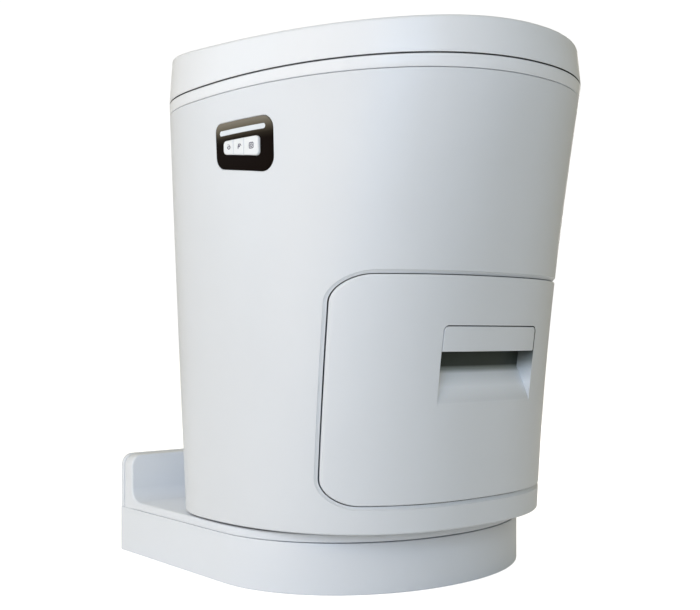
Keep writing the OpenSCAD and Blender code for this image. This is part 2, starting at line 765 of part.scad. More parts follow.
base_half_w = half_w_low - base_side_in;
base_side_y = mid_y_low - base_side_l;
base_front_y = mid_y_low - front_low + base_front_in;
base_front = base_side_y - base_front_y;
upstand_y = mid_y_low + rear_low + upstand_gap;
base_rear_y = upstand_y + upstand_depth;
cover_y = base_rear_y - rear_cover_t;
boss_rear_x = base_half_w - boss_rear_side;
boss_rear_y = upstand_y - boss_rear_in;
boss_front_x = base_half_w - boss_front_side;
boss_front_y = base_front_y + boss_front_in;
base_bosses = [[boss_rear_x, boss_rear_y], [-boss_rear_x, boss_rear_y],
    [boss_front_x, boss_front_y], [-boss_front_x, boss_front_y]];
ring_screws = [for (a = [0:60:300])
    let (r = spigot_r - spigot_wall / 2) [r * cos(a), swivel_y + r * sin(a)]];
module base_plinth() {
    color(white)
        difference() {
            union() {
                difference() {
                    up(base_pts(0, base_rear_y + plinth_step), foot_h, plinth_top);
                    up(base_pts(base_wall, base_rear_y + plinth_step), foot_h + floor_t, far);
                }
                for (b = base_bosses)
                    post(boss_r, foot_h + floor_t / 2, deck_top - deck_t, b[0], b[1]);
            }
            for (b = base_bosses) {
                post(base_screw_r + screw_gap, 0, deck_top, b[0], b[1]);
                post(2 * base_screw_r + screw_gap, 0, foot_h + floor_t, b[0], b[1]);
            }
        }
}
module upstand_block(y0, y1, inset) {
    pts = round_poly([[-base_half_w + inset, plinth_top], [base_half_w - inset, plinth_top],
        [base_half_w - inset, upstand_top - inset], [-base_half_w + inset, upstand_top - inset]],
        [eps, eps, upstand_corner_r - inset, upstand_corner_r - inset]);
    along_y(pts, y0, y1);
}
module base_deck() {
    rear = cover_y - rear_cover_gap;
    color(white)
        difference() {
            union() {
                difference() {
                    up(base_pts(0, rear), plinth_top, deck_top);
                    up(base_pts(base_wall, rear), 0, deck_top - deck_t);
                }
                difference() {
                    upstand_block(upstand_y, rear, 0);
                    upstand_block(upstand_y + upstand_wall, cover_y, upstand_wall);
                    block(-far, far, 0, far, 0, plinth_top + eps);
                }
                difference() {
                    block(-base_half_w, base_half_w, upstand_y - upstand_fillet_r,
                        upstand_y + upstand_wall / 2, deck_top - deck_t / 2,
                        deck_top + upstand_fillet_r);
                    rod_x_axis(upstand_fillet_r, -far, far, upstand_y - upstand_fillet_r,
                        deck_top + upstand_fillet_r);
                }
                post(spigot_r, deck_top - deck_t / 2, spigot_top, 0, swivel_y);
            }
            post(spigot_r - spigot_wall, 0, far, 0, swivel_y);
            for (b = base_bosses)
                post(base_screw_r, 0, deck_top - base_screw_cover, b[0], b[1]);
            for (p = ring_screws)
                post(screw_r, deck_top - base_screw_cover, far, p[0], p[1]);
        }
}
inlet_x = base_half_w - inlet_side;
inlet_z = (upstand_top + plinth_top) / 2;
module rear_cover() {
    color(white)
        difference() {
            upstand_block(cover_y, base_rear_y, 0);
            upstand_block(0, base_rear_y - rear_cover_wall, upstand_wall);
            rod_y_axis(inlet_r, 0, far, inlet_x, inlet_z);
        }
}
module power_inlet() {
    color(dark)
        difference() {
            union() {
                rod_y_axis(inlet_r + inlet_rim, base_rear_y, base_rear_y + inlet_rim, inlet_x,
                    inlet_z);
                rod_y_axis(inlet_r, base_rear_y - inlet_depth, base_rear_y + inlet_rim / 2,
                    inlet_x, inlet_z);
            }
            rod_y_axis(inlet_r - inlet_wall, base_rear_y - inlet_socket, far, inlet_x, inlet_z);
        }
}
module rubber_feet() {
    color(dark)
        both_sides() {
            post(foot_r, 0, foot_h, base_half_w - foot_rear_in, base_rear_y - foot_rear_in);
            post(foot_r, 0, foot_h, base_half_w - foot_front_side, base_front_y + foot_front_in);
        }
}
module base_screws() {
    color(steel)
        for (b = base_bosses) {
            post(base_screw_r, foot_h + base_screw_in, deck_top - base_screw_cover, b[0], b[1]);
            post(2 * base_screw_r, foot_h + base_screw_in, foot_h + floor_t, b[0], b[1]);
        }
}
module glide_pads() {
    color(grey)
        for (a = [45:90:315])
            post(pad_r, deck_top, body_z0, pad_circle_r * cos(a), swivel_y + pad_circle_r * sin(a));
}
module swivel_retainer() {
    color(steel)
        difference() {
            post(retainer_r, spigot_top, spigot_top + retainer_t, 0, swivel_y);
            post(spigot_r - spigot_wall, 0, far, 0, swivel_y);
            for (p = ring_screws)
                post(screw_r + screw_gap, 0, far, p[0], p[1]);
        }
}
module retainer_screws() {
    z = spigot_top + retainer_t;
    color(steel)
        for (p = ring_screws) {
            post(screw_r, deck_top, z + screw_head_h / 2, p[0], p[1]);
            post(2 * screw_r, z, z + screw_head_h, p[0], p[1]);
        }
}

// Body casing and inner frame

function door_pts(grow) = round_rect(-door_half_w - grow, door_half_w + grow,
    door_z0 - grow, door_z1 + grow, door_r + grow);
function panel_pts(grow) = round_poly([[panel_y0 - grow, panel_z0 - grow],
    [panel_y1 - panel_lean + grow, panel_z0 + panel_rise - grow],
    [panel_y1 + grow, panel_z1 + grow], [panel_y0 - grow, panel_z1 + grow]],
    [panel_r + grow, panel_r + grow, panel_rear_r + grow, panel_r + grow]);
module casing() {
    color(white)
        difference() {
            body_wall(casing_t);
            along_y(door_pts(door_gap), -far, 0);
            along_x(panel_pts(frame_fit), -far, 0);
        }
}
module bottom_pan() {
    color(grey)
        difference() {
            up(flat_ring(body_z0, casing_t + frame_fit), body_z0, body_z0 + pan_t);
            post(spigot_r + run_gap, 0, far, 0, swivel_y);
        }
}

// Outline of the drawer's seal, and the plane that it closes on
function seal_pts(grow) = round_rect(-bay_half_w - seal_side - grow,
    bay_half_w + seal_side + grow, bay_z0 - seal_low - grow, bay_z1 + seal_top + grow,
    gasket_r + grow);
frame_y = front_y(bay_half_w + seal_side + frame_border, door_z0) + frame_in;
bay_rear_y = rear_y(bay_half_w + chassis_t, bay_z0 - chassis_t) - chassis_t - bay_rear_room;
column_x = bay_half_w + column_out;
module chassis() {
    t = chassis_t;
    w = bay_half_w;
    color(grey)
        difference() {
            union() {
                block(-w - t, w + t, frame_y + eps, bay_rear_y + t, bay_z0 - t, roof_z);
                along_y(seal_pts(frame_border), frame_y, frame_y + t);
                both_sides()
                    for (y = [frame_y + column_front_in, bay_rear_y - column_rear_in])
                        post(column_r, body_z0 + pan_t, casing_z1 - frame_t, column_x, y);
            }
            block(-w, w, frame_y - t, bay_rear_y, bay_z0, bay_z1);
            up(chute_pts(chute_fit), bay_z1 - t, far);
        }
}
rail_y0 = frame_y + chassis_t;
rail_y1 = bay_rear_y - runner_rear_gap;
runner_z = bay_z0 + runner_up;
slide_x = bay_half_w - 3 * runner_t - 2 * runner_gap;
module runner_plates(x1) {
    both_sides()
        block(x1 - runner_t, x1, rail_y0, rail_y1, runner_z - runner_h / 2,
            runner_z + runner_h / 2);
}
module runner_rails() {
    color(steel)
        runner_plates(bay_half_w);
}
module runner_middles() {
    color(steel)
        runner_plates(bay_half_w - runner_t - runner_gap);
}
module runner_slides() {
    color(steel)
        runner_plates(slide_x + runner_t);
}
cassette_out = liner_step + cassette_w;
module top_frame() {
    color(grey)
        difference() {
            union() {
                up(flat_ring(casing_z1 - frame_t, casing_t + frame_fit), casing_z1 - frame_t,
                    casing_z1);
                up(hole_pts(cassette_out + cassette_gap + well_wall), shelf_z,
                    casing_z1 - frame_t + eps);
            }
            up(hole_pts(liner_step), 0, far);
            up(hole_pts(cassette_out + cassette_gap), cassette_z0, far);
        }
}

// Hinge, seat and lid

post_x0 = post_x - knuckle_w / 2;
arm_x0 = post_x + knuckle_w / 2 + knuckle_gap;
lid_arm_x0 = arm_x0 + knuckle_w + knuckle_gap;
module hinge_posts() {
    color(grey)
        both_sides()
            difference() {
                union() {
                    block(post_x0, post_x0 + knuckle_w, hinge_y - knuckle_r,
                        hinge_y + knuckle_r, casing_z1, hinge_z);
                    rod_x_axis(knuckle_r, post_x0, post_x0 + knuckle_w, hinge_y, hinge_z);
                }
                rod_x_axis(hinge_pin_r, 0, far, hinge_y, hinge_z);
            }
}
module hinge_pin() {
    color(steel)
        both_sides()
            rod_x_axis(hinge_pin_r, post_x0, lid_arm_x0 + knuckle_w, hinge_y, hinge_z);
}
module seat_ring() {
    r = seat_edge_r;
    c = seat_gap;
    color(white)
        difference() {
            skin([for (k = [[seat_z0, c], [seat_z0 + c, 0], [seat_z1 - r, 0],
                [seat_z1 - 0.3 * r, 0.3 * r], [seat_z1, r]]) body_ring(k[0], k[1])], "flat");
            up(hole_pts(0), 0, far);
            block(-far, far, seat_rear_y, far, 0, far);
        }
}
module seat_arms() {
    x0 = arm_x0;
    x1 = arm_x0 + knuckle_w;
    z0 = seat_z1 - seat_arm_t;
    color(white)
        both_sides()
            difference() {
                union() {
                    block(x0, x1, seat_rear_y, hinge_y, z0, seat_z1);
                    block(x0, x1, hinge_y - knuckle_r, hinge_y, z0, hinge_z);
                    rod_x_axis(knuckle_r, x0, x1, hinge_y, hinge_z);
                }
                rod_x_axis(hinge_pin_r, 0, far, hinge_y, hinge_z);
            }
}
bumper_spots = [[hole_half_w + bumper_rear_out, mid_y_top - bumper_rear_in],
    [hole_half_w + bumper_front_out, mid_y_top - bumper_front_in]];
module seat_bumpers() {
    color(dark)
        both_sides()
            for (p = bumper_spots)
                post(seat_bumper_r, casing_z1, seat_z0, p[0], p[1]);
}
lid_front_y = mid_y_top - front_top;
function lid_top(y) =
    lid_z0 + lid_h + lid_rise * pow(max(0, (y - lid_low_y) / (body_rear_y - lid_low_y)), 2)
    + lid_front_rise * pow(max(0, (y - lid_low_y) / (lid_front_y - lid_low_y)), 2);
function lid_ring(inset, drop) = [for (p = body_ring(seam_z, inset)) [p[0], p[1], lid_top(p[1]) - drop]];
function lid_level(inset, z) = [for (p = body_ring(seam_z, inset)) [p[0], p[1], z]];
function lid_scaled(f, inset, drop) =
    [for (p = lid_ring(inset, 0))
        let (y = mid_y(seam_z) + (p[1] - mid_y(seam_z)) * f)
        [p[0] * f, y, lid_top(y) - drop + lid_crown * (1 - f * f)]];
module lid_shell() {
    r = lid_edge_r;
    d = lid_draft;
    t = lid_wall;
    c = lid_chamfer;
    outer = concat([for (f = [0.35, 0.7, 0.9]) lid_scaled(f, d + r, 0)],
        [for (a = [90:-22.5:0]) lid_ring(d + r * (1 - cos(a)), r * (1 - sin(a)))],
        [lid_level(0, lid_z0 + c), lid_level(c, lid_z0)]);
    inner = concat([lid_level(t, lid_z0), lid_level(t, lid_inner_z + lid_inner_t),
        lid_ring(d + t, r), lid_ring(d + t + r * 0.3, t + r * 0.3), lid_ring(d + t + r, t)],
        [for (f = [0.9, 0.7, 0.35]) lid_scaled(f, d + r + t, t)]);
    color(white)
        difference() {
            skin(concat(outer, inner), "flat");
            both_sides()
                block(post_x0 - hinge_side_gap, lid_arm_x0 - knuckle_gap / 2, hinge_y, far, 0,
                    hinge_z + knuckle_r + hinge_top_gap);
        }
}
lid_inner_z = lid_z0 + lid_inner_up;
lid_inner_y = hinge_y - lid_inner_back;
module lid_inner() {
    color(white)
        difference() {
            up(flat_ring(seam_z, lid_wall + frame_fit), lid_inner_z, lid_inner_z + lid_inner_t);
            block(-far, far, lid_inner_y, far, 0, far);
        }
}
module lid_arms() {
    x0 = lid_arm_x0;
    x1 = lid_arm_x0 + knuckle_w;
    z = lid_inner_z + lid_inner_t;
    color(white)
        both_sides()
            difference() {
                union() {
                    block(x0, x1, lid_inner_y - lid_arm_l, hinge_y, z, z + lid_arm_t);
                    rod_x_axis(knuckle_r, x0, x1, hinge_y, hinge_z);
                }
                rod_x_axis(hinge_pin_r + run_gap, 0, far, hinge_y, hinge_z);
            }
}
module lid_bumpers() {
    color(dark)
        both_sides()
            for (p = bumper_spots)
                post(lid_bumper_r, seat_z1, lid_inner_z, p[0], p[1]);
}

// Liner

module liner_cassette() {
    t = cassette_wall;
    color(grey)
        difference() {
            up(hole_pts(cassette_out), cassette_z0, cassette_top);
            up(hole_pts(liner_step), 0, far);
            difference() {
                up(hole_pts(cassette_out - t), cassette_z0 + t, far);
                up(hole_pts(liner_step + t), 0, far);
            }
        }
}
module liner_pack() {
    t = cassette_wall + pack_gap;
    z = cassette_z0 + cassette_wall;
    color("white")
        difference() {
            up(hole_pts(cassette_out - t), z, z + pack_h);
            up(hole_pts(liner_step + t), 0, far);
        }
}

// Pouch: share of its depth and share of its width at each ring
pouch_rings = [[0, 0.3], [0.14, 0.55], [0.53, 0.8], [1, 1]];
function pouch_ring(z, grow, f) = [for (p = hole_pts(grow))
    [p[0] * f, hole_y + (p[1] - hole_y) * f, z]];
module liner_pouch() {
    z0 = unit_z1 + pouch_up;
    z1 = cassette_top + cassette_top_gap / 2;
    g = liner_step - pouch_gap;
    n = len(pouch_rings);
    function level(k, f, lift) =
        pouch_ring(mix(z0, cassette_z0, pouch_rings[k][0]) + lift, f, pouch_rings[k][1]);
    color([0.85, 0.87, 0.9])
        skin(concat([for (k = [0:n - 1]) level(k, g, 0)],
            [pouch_ring(z1, g, 1), pouch_ring(z1, g - film_t, 1)],
            [for (k = [n - 1:-1:0]) level(k, g - film_t, k < 2 ? film_t : 0)]), "flat");
}
function chute_pts(grow) =
    let (w = strip_half_l - chute_side_in + grow, l = jaw_open - chute_end_in + grow)
    round_rect(-w, w, jaw_mid_y - l, jaw_mid_y + l, chute_r + grow);
module chute() {
    color(grey)
        difference() {
            union() {
                up(chute_pts(0), bay_z1 - chute_low, jaw_z0 - chute_gap);
                up(chute_pts(chute_flange_w), roof_z, roof_z + chute_flange_t);
            }
            up(chute_pts(-chute_wall), 0, far);
        }
}

// Sealing unit

jaw_half_l = bay_half_w - jaw_side_in;
jaw_z0 = roof_z + jaw_up;
jaw_z1 = jaw_z0 + jaw_h;
jaw_mid_z = (jaw_z0 + jaw_z1) / 2;
rod_x = jaw_half_l - rod_side_in;
rod_z = jaw_z0 + rod_edge_in;
lead_z = jaw_z1 - rod_edge_in;
strip_half_l = rod_x - strip_in;
unit_x = jaw_half_l + unit_side_gap;
unit_y0 = jaw_mid_y - jaw_open - jaw_d - unit_room;
unit_y1 = jaw_mid_y + jaw_open + jaw_d + unit_room;
unit_z1 = jaw_z1 + unit_top_gap;
module jaw_frame() {
    t = plate_t;
    z = roof_z + unit_floor_t;
    x = unit_x - unit_side_floor;
    color(steel)
        difference() {
            block(-unit_x - t, unit_x + t, unit_y0, unit_y1, roof_z, unit_z1);
            block(-unit_x, unit_x, unit_y0 + t, unit_y1 - t, z, far);
            block(-x, x, unit_y0 + t + unit_end_floor, unit_y1 - t - unit_end_floor, 0, far);
            block(-far, far, -far, rail_y0 + frame_fit, 0, z);
            both_sides() {
                rod_y_axis(rod_r, -far, far, rod_x, rod_z);
                rod_y_axis(lead_r + run_gap, -far, far, rod_x, lead_z);
            }
        }
}
module guide_rods() {
    color(steel)
        both_sides()
            rod_y_axis(rod_r, unit_y0, unit_y1, rod_x, rod_z);
}
module lead_screw(x) {
    color(steel)
        rod_y_axis(lead_r, unit_y0 - lead_front, unit_y1 + lead_rear, x, lead_z);
}
module lead_screw_left() {
    lead_screw(-rod_x);
}
module lead_screw_right() {
    lead_screw(rod_x);
}
module jaw(y0) {
    color(grey)
        difference() {
            block(-jaw_half_l, jaw_half_l, y0, y0 + jaw_d, jaw_z0, jaw_z1);
            both_sides() {
                rod_y_axis(rod_r + run_gap, -far, far, rod_x, rod_z);
                rod_y_axis(lead_r + run_gap, -far, far, rod_x, lead_z);
            }
        }
}
module front_jaw() {
    jaw(jaw_mid_y - jaw_open - jaw_d);
}
module rear_jaw() {
    jaw(jaw_mid_y + jaw_open);
}
module jaw_strip(y, h) {
    block(-strip_half_l, strip_half_l, y, y + strip_t, jaw_mid_z - h / 2, jaw_mid_z + h / 2);
}
module silicone_strip() {
    color([0.75, 0.35, 0.2])
        jaw_strip(jaw_mid_y - jaw_open, silicone_h);
}
module heater_bar() {
    color(steel)
        jaw_strip(jaw_mid_y + jaw_open - strip_t, heater_h);
}
module jaw_motors() {
    color(dark)
        both_sides()
            difference() {
                union() {
                    rod_y_axis(motor_r, unit_y1, unit_y1 + motor_l, rod_x, lead_z);
                    rod_y_axis(gearbox_r, unit_y1, unit_y1 + gearbox_l, rod_x, lead_z);
                }
                rod_y_axis(lead_r + run_gap, 0, unit_y1 + lead_rear + lead_end_gap, rod_x, lead_z);
            }
}

// Drawer

grip_z1 = door_z1 - grip_down;
grip_z0 = grip_z1 - grip_h;
grip_floor_z = grip_z0 + grip_rise;
paddle_z0 = grip_z1 - paddle_h;
paddle_pin_z = grip_z1 - paddle_gap - paddle_pin_drop;
paddle_pin_y = front_y(0, paddle_pin_z) + paddle_pin_depth;
ear_x1 = ear_x + ear_w;
door_inner_y = frame_y - gasket_t - door_inner_t;
function grip_section(x, grow) =
    let (floor_y = front_y(x, grip_floor_z) + grip_depth + grow)
    [[x, -far, grip_z0 - grow], [x, front_y(x, grip_z0), grip_z0 - grow],
        [x, floor_y, grip_floor_z - grow], [x, floor_y, grip_z1 + grow],
        [x, -far, grip_z1 + grow]];
module grip_pocket(grow) {
    w = grip_half_w + grow;
    intersection() {
        skin([for (i = [0:12]) grip_section(mix(-w, w, i / 12), grow)], "flat");
        along_y(round_rect(-w, w, grip_z0 - grip_h, grip_z1 + grow, grip_r + grow), -far, 0);
    }
}
door_posts = [for (z = [door_z0 + post_in, door_z1 - post_in]) [bay_half_w - post_side_in, z]];
module at_posts(r, y0, y1) {
    both_sides()
        for (p = door_posts)
            rod_y_axis(r, y0, y1, p[0], p[1]);
}
module door_front() {
    color(white)
        difference() {
            union() {
                intersection() {
                    body_wall(door_t);
                    along_y(door_pts(0), -far, 0);
                }
                intersection() {
                    body_solid(door_t / 2);
                    union() {
                        grip_pocket(grip_wall);
                        at_posts(post_r, -far, door_inner_y);
                    }
                }
            }
            difference() {
                grip_pocket(0);
                both_sides()
                    block(ear_x, ear_x1, paddle_pin_y - ear_front, 0, paddle_pin_z - ear_low, far);
            }
            at_posts(screw_r, door_inner_y - post_depth, 0);
            rod_x_axis(paddle_pin_r, -ear_x1 - ear_play, ear_x1 + ear_play, paddle_pin_y,
                paddle_pin_z);
        }
}
module door_inner() {
    color(grey)
        difference() {
            intersection() {
                along_y(seal_pts(inner_border), door_inner_y, door_inner_y + door_inner_t);
                body_solid(door_t + curve_gap);
            }
            at_posts(screw_r + screw_gap, -far, far);
        }
}
module door_gasket() {
    color(dark)
        difference() {
            along_y(seal_pts(0), frame_y - gasket_t, frame_y);
            along_y(seal_pts(-gasket_w), -far, far);
        }
}
module door_screws() {
    y = door_inner_y + door_inner_t;
    color(steel) {
        at_posts(screw_r, door_inner_y - post_depth, y + screw_head_h / 2);
        at_posts(2 * screw_r, y, y + screw_head_h);
    }
}
tray_z0 = bay_z0 + tray_gap;
tray_y0 = frame_y - gasket_t;
tray_y1 = bay_rear_y - tray_rear_gap;
module drawer_tray() {
    w = slide_x;
    t = tray_wall;
    color(grey)
        difference() {
            block(-w, w, tray_y0, tray_y1, tray_z0, tray_z0 + tray_h);
            block(-w + t, w - t, tray_y0 + t, tray_y1 - t, tray_z0 + t, far);
            at_posts(2 * screw_r + screw_gap, -far, tray_y0 + t + eps);
        }
}
bin_half_w = slide_x - tray_wall - bin_side_gap;
bin_top = bay_z1 - bin_headroom;
function bin_pts(inset, r) = round_rect(-bin_half_w + inset, bin_half_w - inset,
    tray_y0 + tray_wall + bin_front_gap + inset, tray_y1 - tray_wall - bin_rear_gap - inset, r);
module waste_bin() {
    z0 = tray_z0 + tray_wall;
    color(grey)
        difference() {
            union() {
                up(bin_pts(bin_rim, bin_r), z0, bin_top);
                up(bin_pts(0, bin_r + bin_rim), bin_top - bin_rim_h, bin_top);
            }
            up(bin_pts(bin_rim + bin_wall, bin_r - bin_wall), z0 + bin_wall, far);
        }
}

// Handle and latch

module handle_paddle() {
    g = paddle_gap;
    color(white)
        difference() {
            intersection() {
                body_wall(paddle_t);
                along_y(round_poly(rect(-grip_half_w + g, grip_half_w - g, paddle_z0,
                    grip_z1 - g), [paddle_r, paddle_r, grip_r - g, grip_r - g]), -far, 0);
            }
            both_sides()
                block(ear_x - ear_play, ear_x1 + ear_play, paddle_pin_y - ear_front - ear_gap, 0,
                    paddle_pin_z - ear_low - ear_room, far);
            rod_x_axis(paddle_pin_r + run_gap, -ear_x1 - 2 * ear_play, ear_x1 + 2 * ear_play,
                paddle_pin_y, paddle_pin_z);
        }
}
module paddle_pin() {
    color(steel)
        rod_x_axis(paddle_pin_r, -ear_x1, ear_x1, paddle_pin_y, paddle_pin_z);
}
bolt_y = front_y(0, grip_floor_z) + grip_depth - bolt_in;
bolt_z0 = grip_z1 + grip_wall + bolt_room;
module latch_bolt() {
    w = bolt_half_w;
    f = bolt_foot_half_w;
    y0 = bolt_y - bolt_t / 2;
    y1 = bolt_y + bolt_t / 2;
    color(steel)
        union() {
            block(-w, w, y0, y1, bolt_z0, door_z1 - bolt_top_gap);
            block(-f, f, y0, y1, bolt_z0, bolt_z0 + bolt_foot_h);
        }
}
module latch_guide() {
    g = guide_gap;
    w = bolt_half_w + g;
    y1 = bolt_y + bolt_t / 2 + g;
    z0 = bolt_z0 + bolt_foot_h + guide_up;
    color(grey)
        difference() {
            intersection() {
                body_solid(door_t + curve_gap);
                block(-w - guide_wall, w + guide_wall, -far, y1 + guide_wall, z0, z0 + guide_h);
            }
            block(-w, w, bolt_y - bolt_t / 2 - g, y1, 0, far);
        }
}

// Control panel

bar_z = panel_z1 - bar_down;
key_z1 = panel_z1 - key_down;
key_z0 = key_z1 - key_h;
flange_in = casing_t + 2 * curve_gap;
board_x = board_depth - side_x(panel_y0, panel_z0);

// Slab that follows the body's left side, between two depths behind its surface
module side_slab(y0, y1, z0, z1, in_a, in_b) {
    ny = 12;
    nz = 4;
    ring = concat([for (i = [0:ny]) [i, 0]], [for (j = [1:nz]) [ny, j]],
        [for (i = [ny - 1:-1:0]) [i, nz]], [for (j = [nz - 1:-1:1]) [0, j]]);
    grid = [for (f = [in_a, in_b]) for (j = [0:nz]) for (i = [0:ny])
        let (y = mix(y0, y1, i / ny), z = mix(z0, z1, j / nz)) [f - side_x(y, z), y, z]];
    n = ny + 1;
    m = n * (nz + 1);
    front = [for (j = [0:nz - 1]) for (i = [0:ny - 1])
        let (a = j * n + i) for (f = [[a, a + 1, a + n + 1], [a, a + n + 1, a + n]]) f];
    back = [for (f = front) [f[0] + m, f[2] + m, f[1] + m]];
    edge = [for (k = [0:len(ring) - 1])
        let (p = ring[k], q = ring[(k + 1) % len(ring)])
        let (a = p[1] * n + p[0], b = q[1] * n + q[0])
        for (f = [[b, a, a + m], [b, a + m, b + m]]) f];
    polyhedron(grid, concat(front, back, edge));
}
module panel_slab(in_a, in_b) {
    w = 2 * panel_flange_w;
    side_slab(panel_y0 - w, panel_y1 + w, panel_z0 - w, panel_z1 + w, in_a, in_b);
}

// Outline of the keys from y0 to y1, grown by gy and gz, with end radii ra and rb
function key_low(y) = key_z0 + key_rise * (y - key_y0) / (key_y1 - key_y0);
function key_pts(y0, y1, gy, gz, ra, rb) = round_poly([[y0 - gy, key_low(y0) - gz],
    [y1 + gy, key_low(y1) - gz], [y1 + gy, key_z1 + gz], [y0 - gy, key_z1 + gz]],
    [ra, rb, rb, ra]);
bar_pts = round_rect(bar_y0, bar_y1, bar_z - bar_h / 2, bar_z + bar_h / 2, bar_h / 2 - eps);
module control_panel() {
    p = board_in + board_post_in;
    color(dark)
        difference() {
            union() {
                for (y = [panel_y0 + p, panel_y1 - p], z = [panel_z0 + p, panel_z1 - p])
                    rod_x_axis(board_post_r, flange_in + panel_flange_t / 2 - side_x(y, z),
                        board_x, y, z);
                intersection() {
                    panel_slab(-panel_proud, flange_in + panel_flange_t / 2);
                    along_x(panel_pts(0), -far, 0);
                }
                intersection() {
                    panel_slab(flange_in, flange_in + panel_flange_t);
                    along_x(panel_pts(panel_flange_w), -far, 0);
                }
            }
            along_x(key_pts(key_y0, key_y1, key_gap, key_gap, key_r + key_gap, key_r + key_gap),
                -far, 0);
            intersection() {
                panel_slab(-2 * key_proud, bar_depth);
                along_x(bar_pts, -far, 0);
            }
        }
}
module light_bar() {
    color([0.95, 0.97, 1])
        intersection() {
            panel_slab(-panel_proud, bar_depth);
            along_x(bar_pts, -far, 0);
        }
}
key_back = flange_in + panel_flange_t + curve_gap;
module key(y0, y1, ra, rb) {
    g = key_gap;
    color(white)
        union() {
            intersection() {
                panel_slab(-panel_proud - key_proud, key_back + key_lip_t / 2);
                along_x(key_pts(y0 + g, y1 - g, 0, 0, ra, rb), -far, 0);
            }
            intersection() {
                panel_slab(key_back, key_back + key_lip_t);
                along_x(key_pts(y0 + g, y1 - g, 0, key_lip_w, ra, rb), -far, 0);
            }
        }
}
module button_front() {
    key(key_y0, key_joint_a, key_r, key_joint_r);
}
module button_middle() {
    key(key_joint_a, key_joint_b, key_joint_r, key_joint_r);
}
module button_rear() {
    key(key_joint_b, key_y1, key_joint_r, key_r);
}
module control_board() {
    b = board_in;
    color([0.1, 0.35, 0.2])
        block(board_x, board_x + board_t, panel_y0 + b, panel_y1 - b, panel_z0 + b, panel_z1 - b);
}
module tact_switches() {
    z1 = key_z1 - switch_down;
    z0 = z1 - switch_w;
    depth = key_back + key_lip_t + key_travel + switch_gap;
    color(dark)
        for (y = [(key_y0 + key_joint_a) / 2, (key_joint_a + key_joint_b) / 2,
            (key_joint_b + key_y1) / 2])
            let (y0 = y - switch_w / 2, y1 = y + switch_w / 2)
            block(depth - min(side_x(y0, z0), side_x(y0, z1)), board_x, y0, y1, z0, z1);
}

base_plinth();
base_deck();
rear_cover();
power_inlet();
rubber_feet();
base_screws();
glide_pads();
swivel_retainer();
retainer_screws();
casing();
bottom_pan();
chassis();
runner_rails();
runner_middles();
runner_slides();
top_frame();
hinge_posts();
hinge_pin();
seat_ring();
seat_arms();
seat_bumpers();
lid_shell();
lid_inner();
lid_arms();
lid_bumpers();
liner_cassette();
liner_pack();
liner_pouch();
chute();
jaw_frame();
guide_rods();
lead_screw_left();
lead_screw_right();
front_jaw();
rear_jaw();
silicone_strip();
heater_bar();
jaw_motors();
door_front();
door_inner();
door_gasket();
door_screws();
drawer_tray();
waste_bin();
handle_paddle();
paddle_pin();
latch_bolt();
latch_guide();
control_panel();
light_bar();
button_front();
button_middle();
button_rear();
control_board();
tact_switches();
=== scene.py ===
import json
import math
import bmesh
import bpy
import numpy as np
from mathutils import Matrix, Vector


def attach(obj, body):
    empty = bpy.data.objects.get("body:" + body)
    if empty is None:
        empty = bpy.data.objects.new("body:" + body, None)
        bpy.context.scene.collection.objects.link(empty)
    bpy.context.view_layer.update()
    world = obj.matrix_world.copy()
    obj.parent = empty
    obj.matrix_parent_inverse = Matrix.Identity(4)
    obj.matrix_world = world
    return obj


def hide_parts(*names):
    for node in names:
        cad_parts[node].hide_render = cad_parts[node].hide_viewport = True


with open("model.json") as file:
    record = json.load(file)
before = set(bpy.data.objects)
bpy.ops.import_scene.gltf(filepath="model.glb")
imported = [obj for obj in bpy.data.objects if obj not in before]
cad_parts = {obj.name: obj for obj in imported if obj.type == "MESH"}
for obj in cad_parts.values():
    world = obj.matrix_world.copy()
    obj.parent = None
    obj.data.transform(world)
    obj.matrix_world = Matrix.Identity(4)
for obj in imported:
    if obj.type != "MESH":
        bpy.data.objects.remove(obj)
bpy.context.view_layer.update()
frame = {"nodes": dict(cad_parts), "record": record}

# Lengths are in mm, except for the camera, the stage and heights in material stops, in metres.
MM = 0.001

# Camera: the photograph's view, a level lens whose horizon lies below the picture's middle.
PHOTO_WIDTH_PX = 700.0
HORIZON_BELOW_MIDDLE_PX = 30.0
cam_data = bpy.data.cameras.new("camera")
cam_data.lens = 53.02
cam_data.sensor_width = 36.0
cam_data.shift_y = HORIZON_BELOW_MIDDLE_PX / PHOTO_WIDTH_PX
cam_data.clip_end = 50.0
camera = bpy.data.objects.new("camera", cam_data)
bpy.context.scene.collection.objects.link(camera)
camera.location = (-0.742, -0.836, 0.245)
camera.rotation_euler = (math.radians(90.0), 0.0, math.radians(-40.2))
bpy.context.scene.camera = camera

# Body shape: level ovals, each a wide front half and a short rear half
BODY_Z0 = 61.0
CASING_Z1 = 480.4
SEAT_Z0 = 481.4
SEAT_Z1 = 492.4
SEAM_Z = 493.0
LID_Z0 = 493.6
# Each row is the value at the hem, the value at the seam and what mid height has more.
HALF_WIDTH = (186.4, 191.0, -3.1)
MIDDLE_Y = (46.6, 51.0, 3.2)
FRONT_LENGTH = (203.4, 283.0, -12.0)
REAR_LENGTH = (130.0, 150.0, 5.0)
FRONT_POWER = (2.43, 2.16, 0.24)
REAR_POWER = (2.3, 2.7, 0.0)


def rise(z):
    return np.clip((np.asarray(z, float) - BODY_Z0) / (SEAM_Z - BODY_Z0), 0.0, 1.0)


def at_height(row, z):
    """Value of a row of the body shape at height z."""
    low, top, bulge = row
    t = rise(z)
    return low + (top - low) * t + bulge * (4.0 * t * (1.0 - t))


def half_w(z):
    return at_height(HALF_WIDTH, z)


def mid_y(z):
    return at_height(MIDDLE_Y, z)


def front_l(z):
    return at_height(FRONT_LENGTH, z)


def rear_l(z):
    return at_height(REAR_LENGTH, z)


def front_n(z):
    return at_height(FRONT_POWER, z)


def rear_n(z):
    return at_height(REAR_POWER, z)


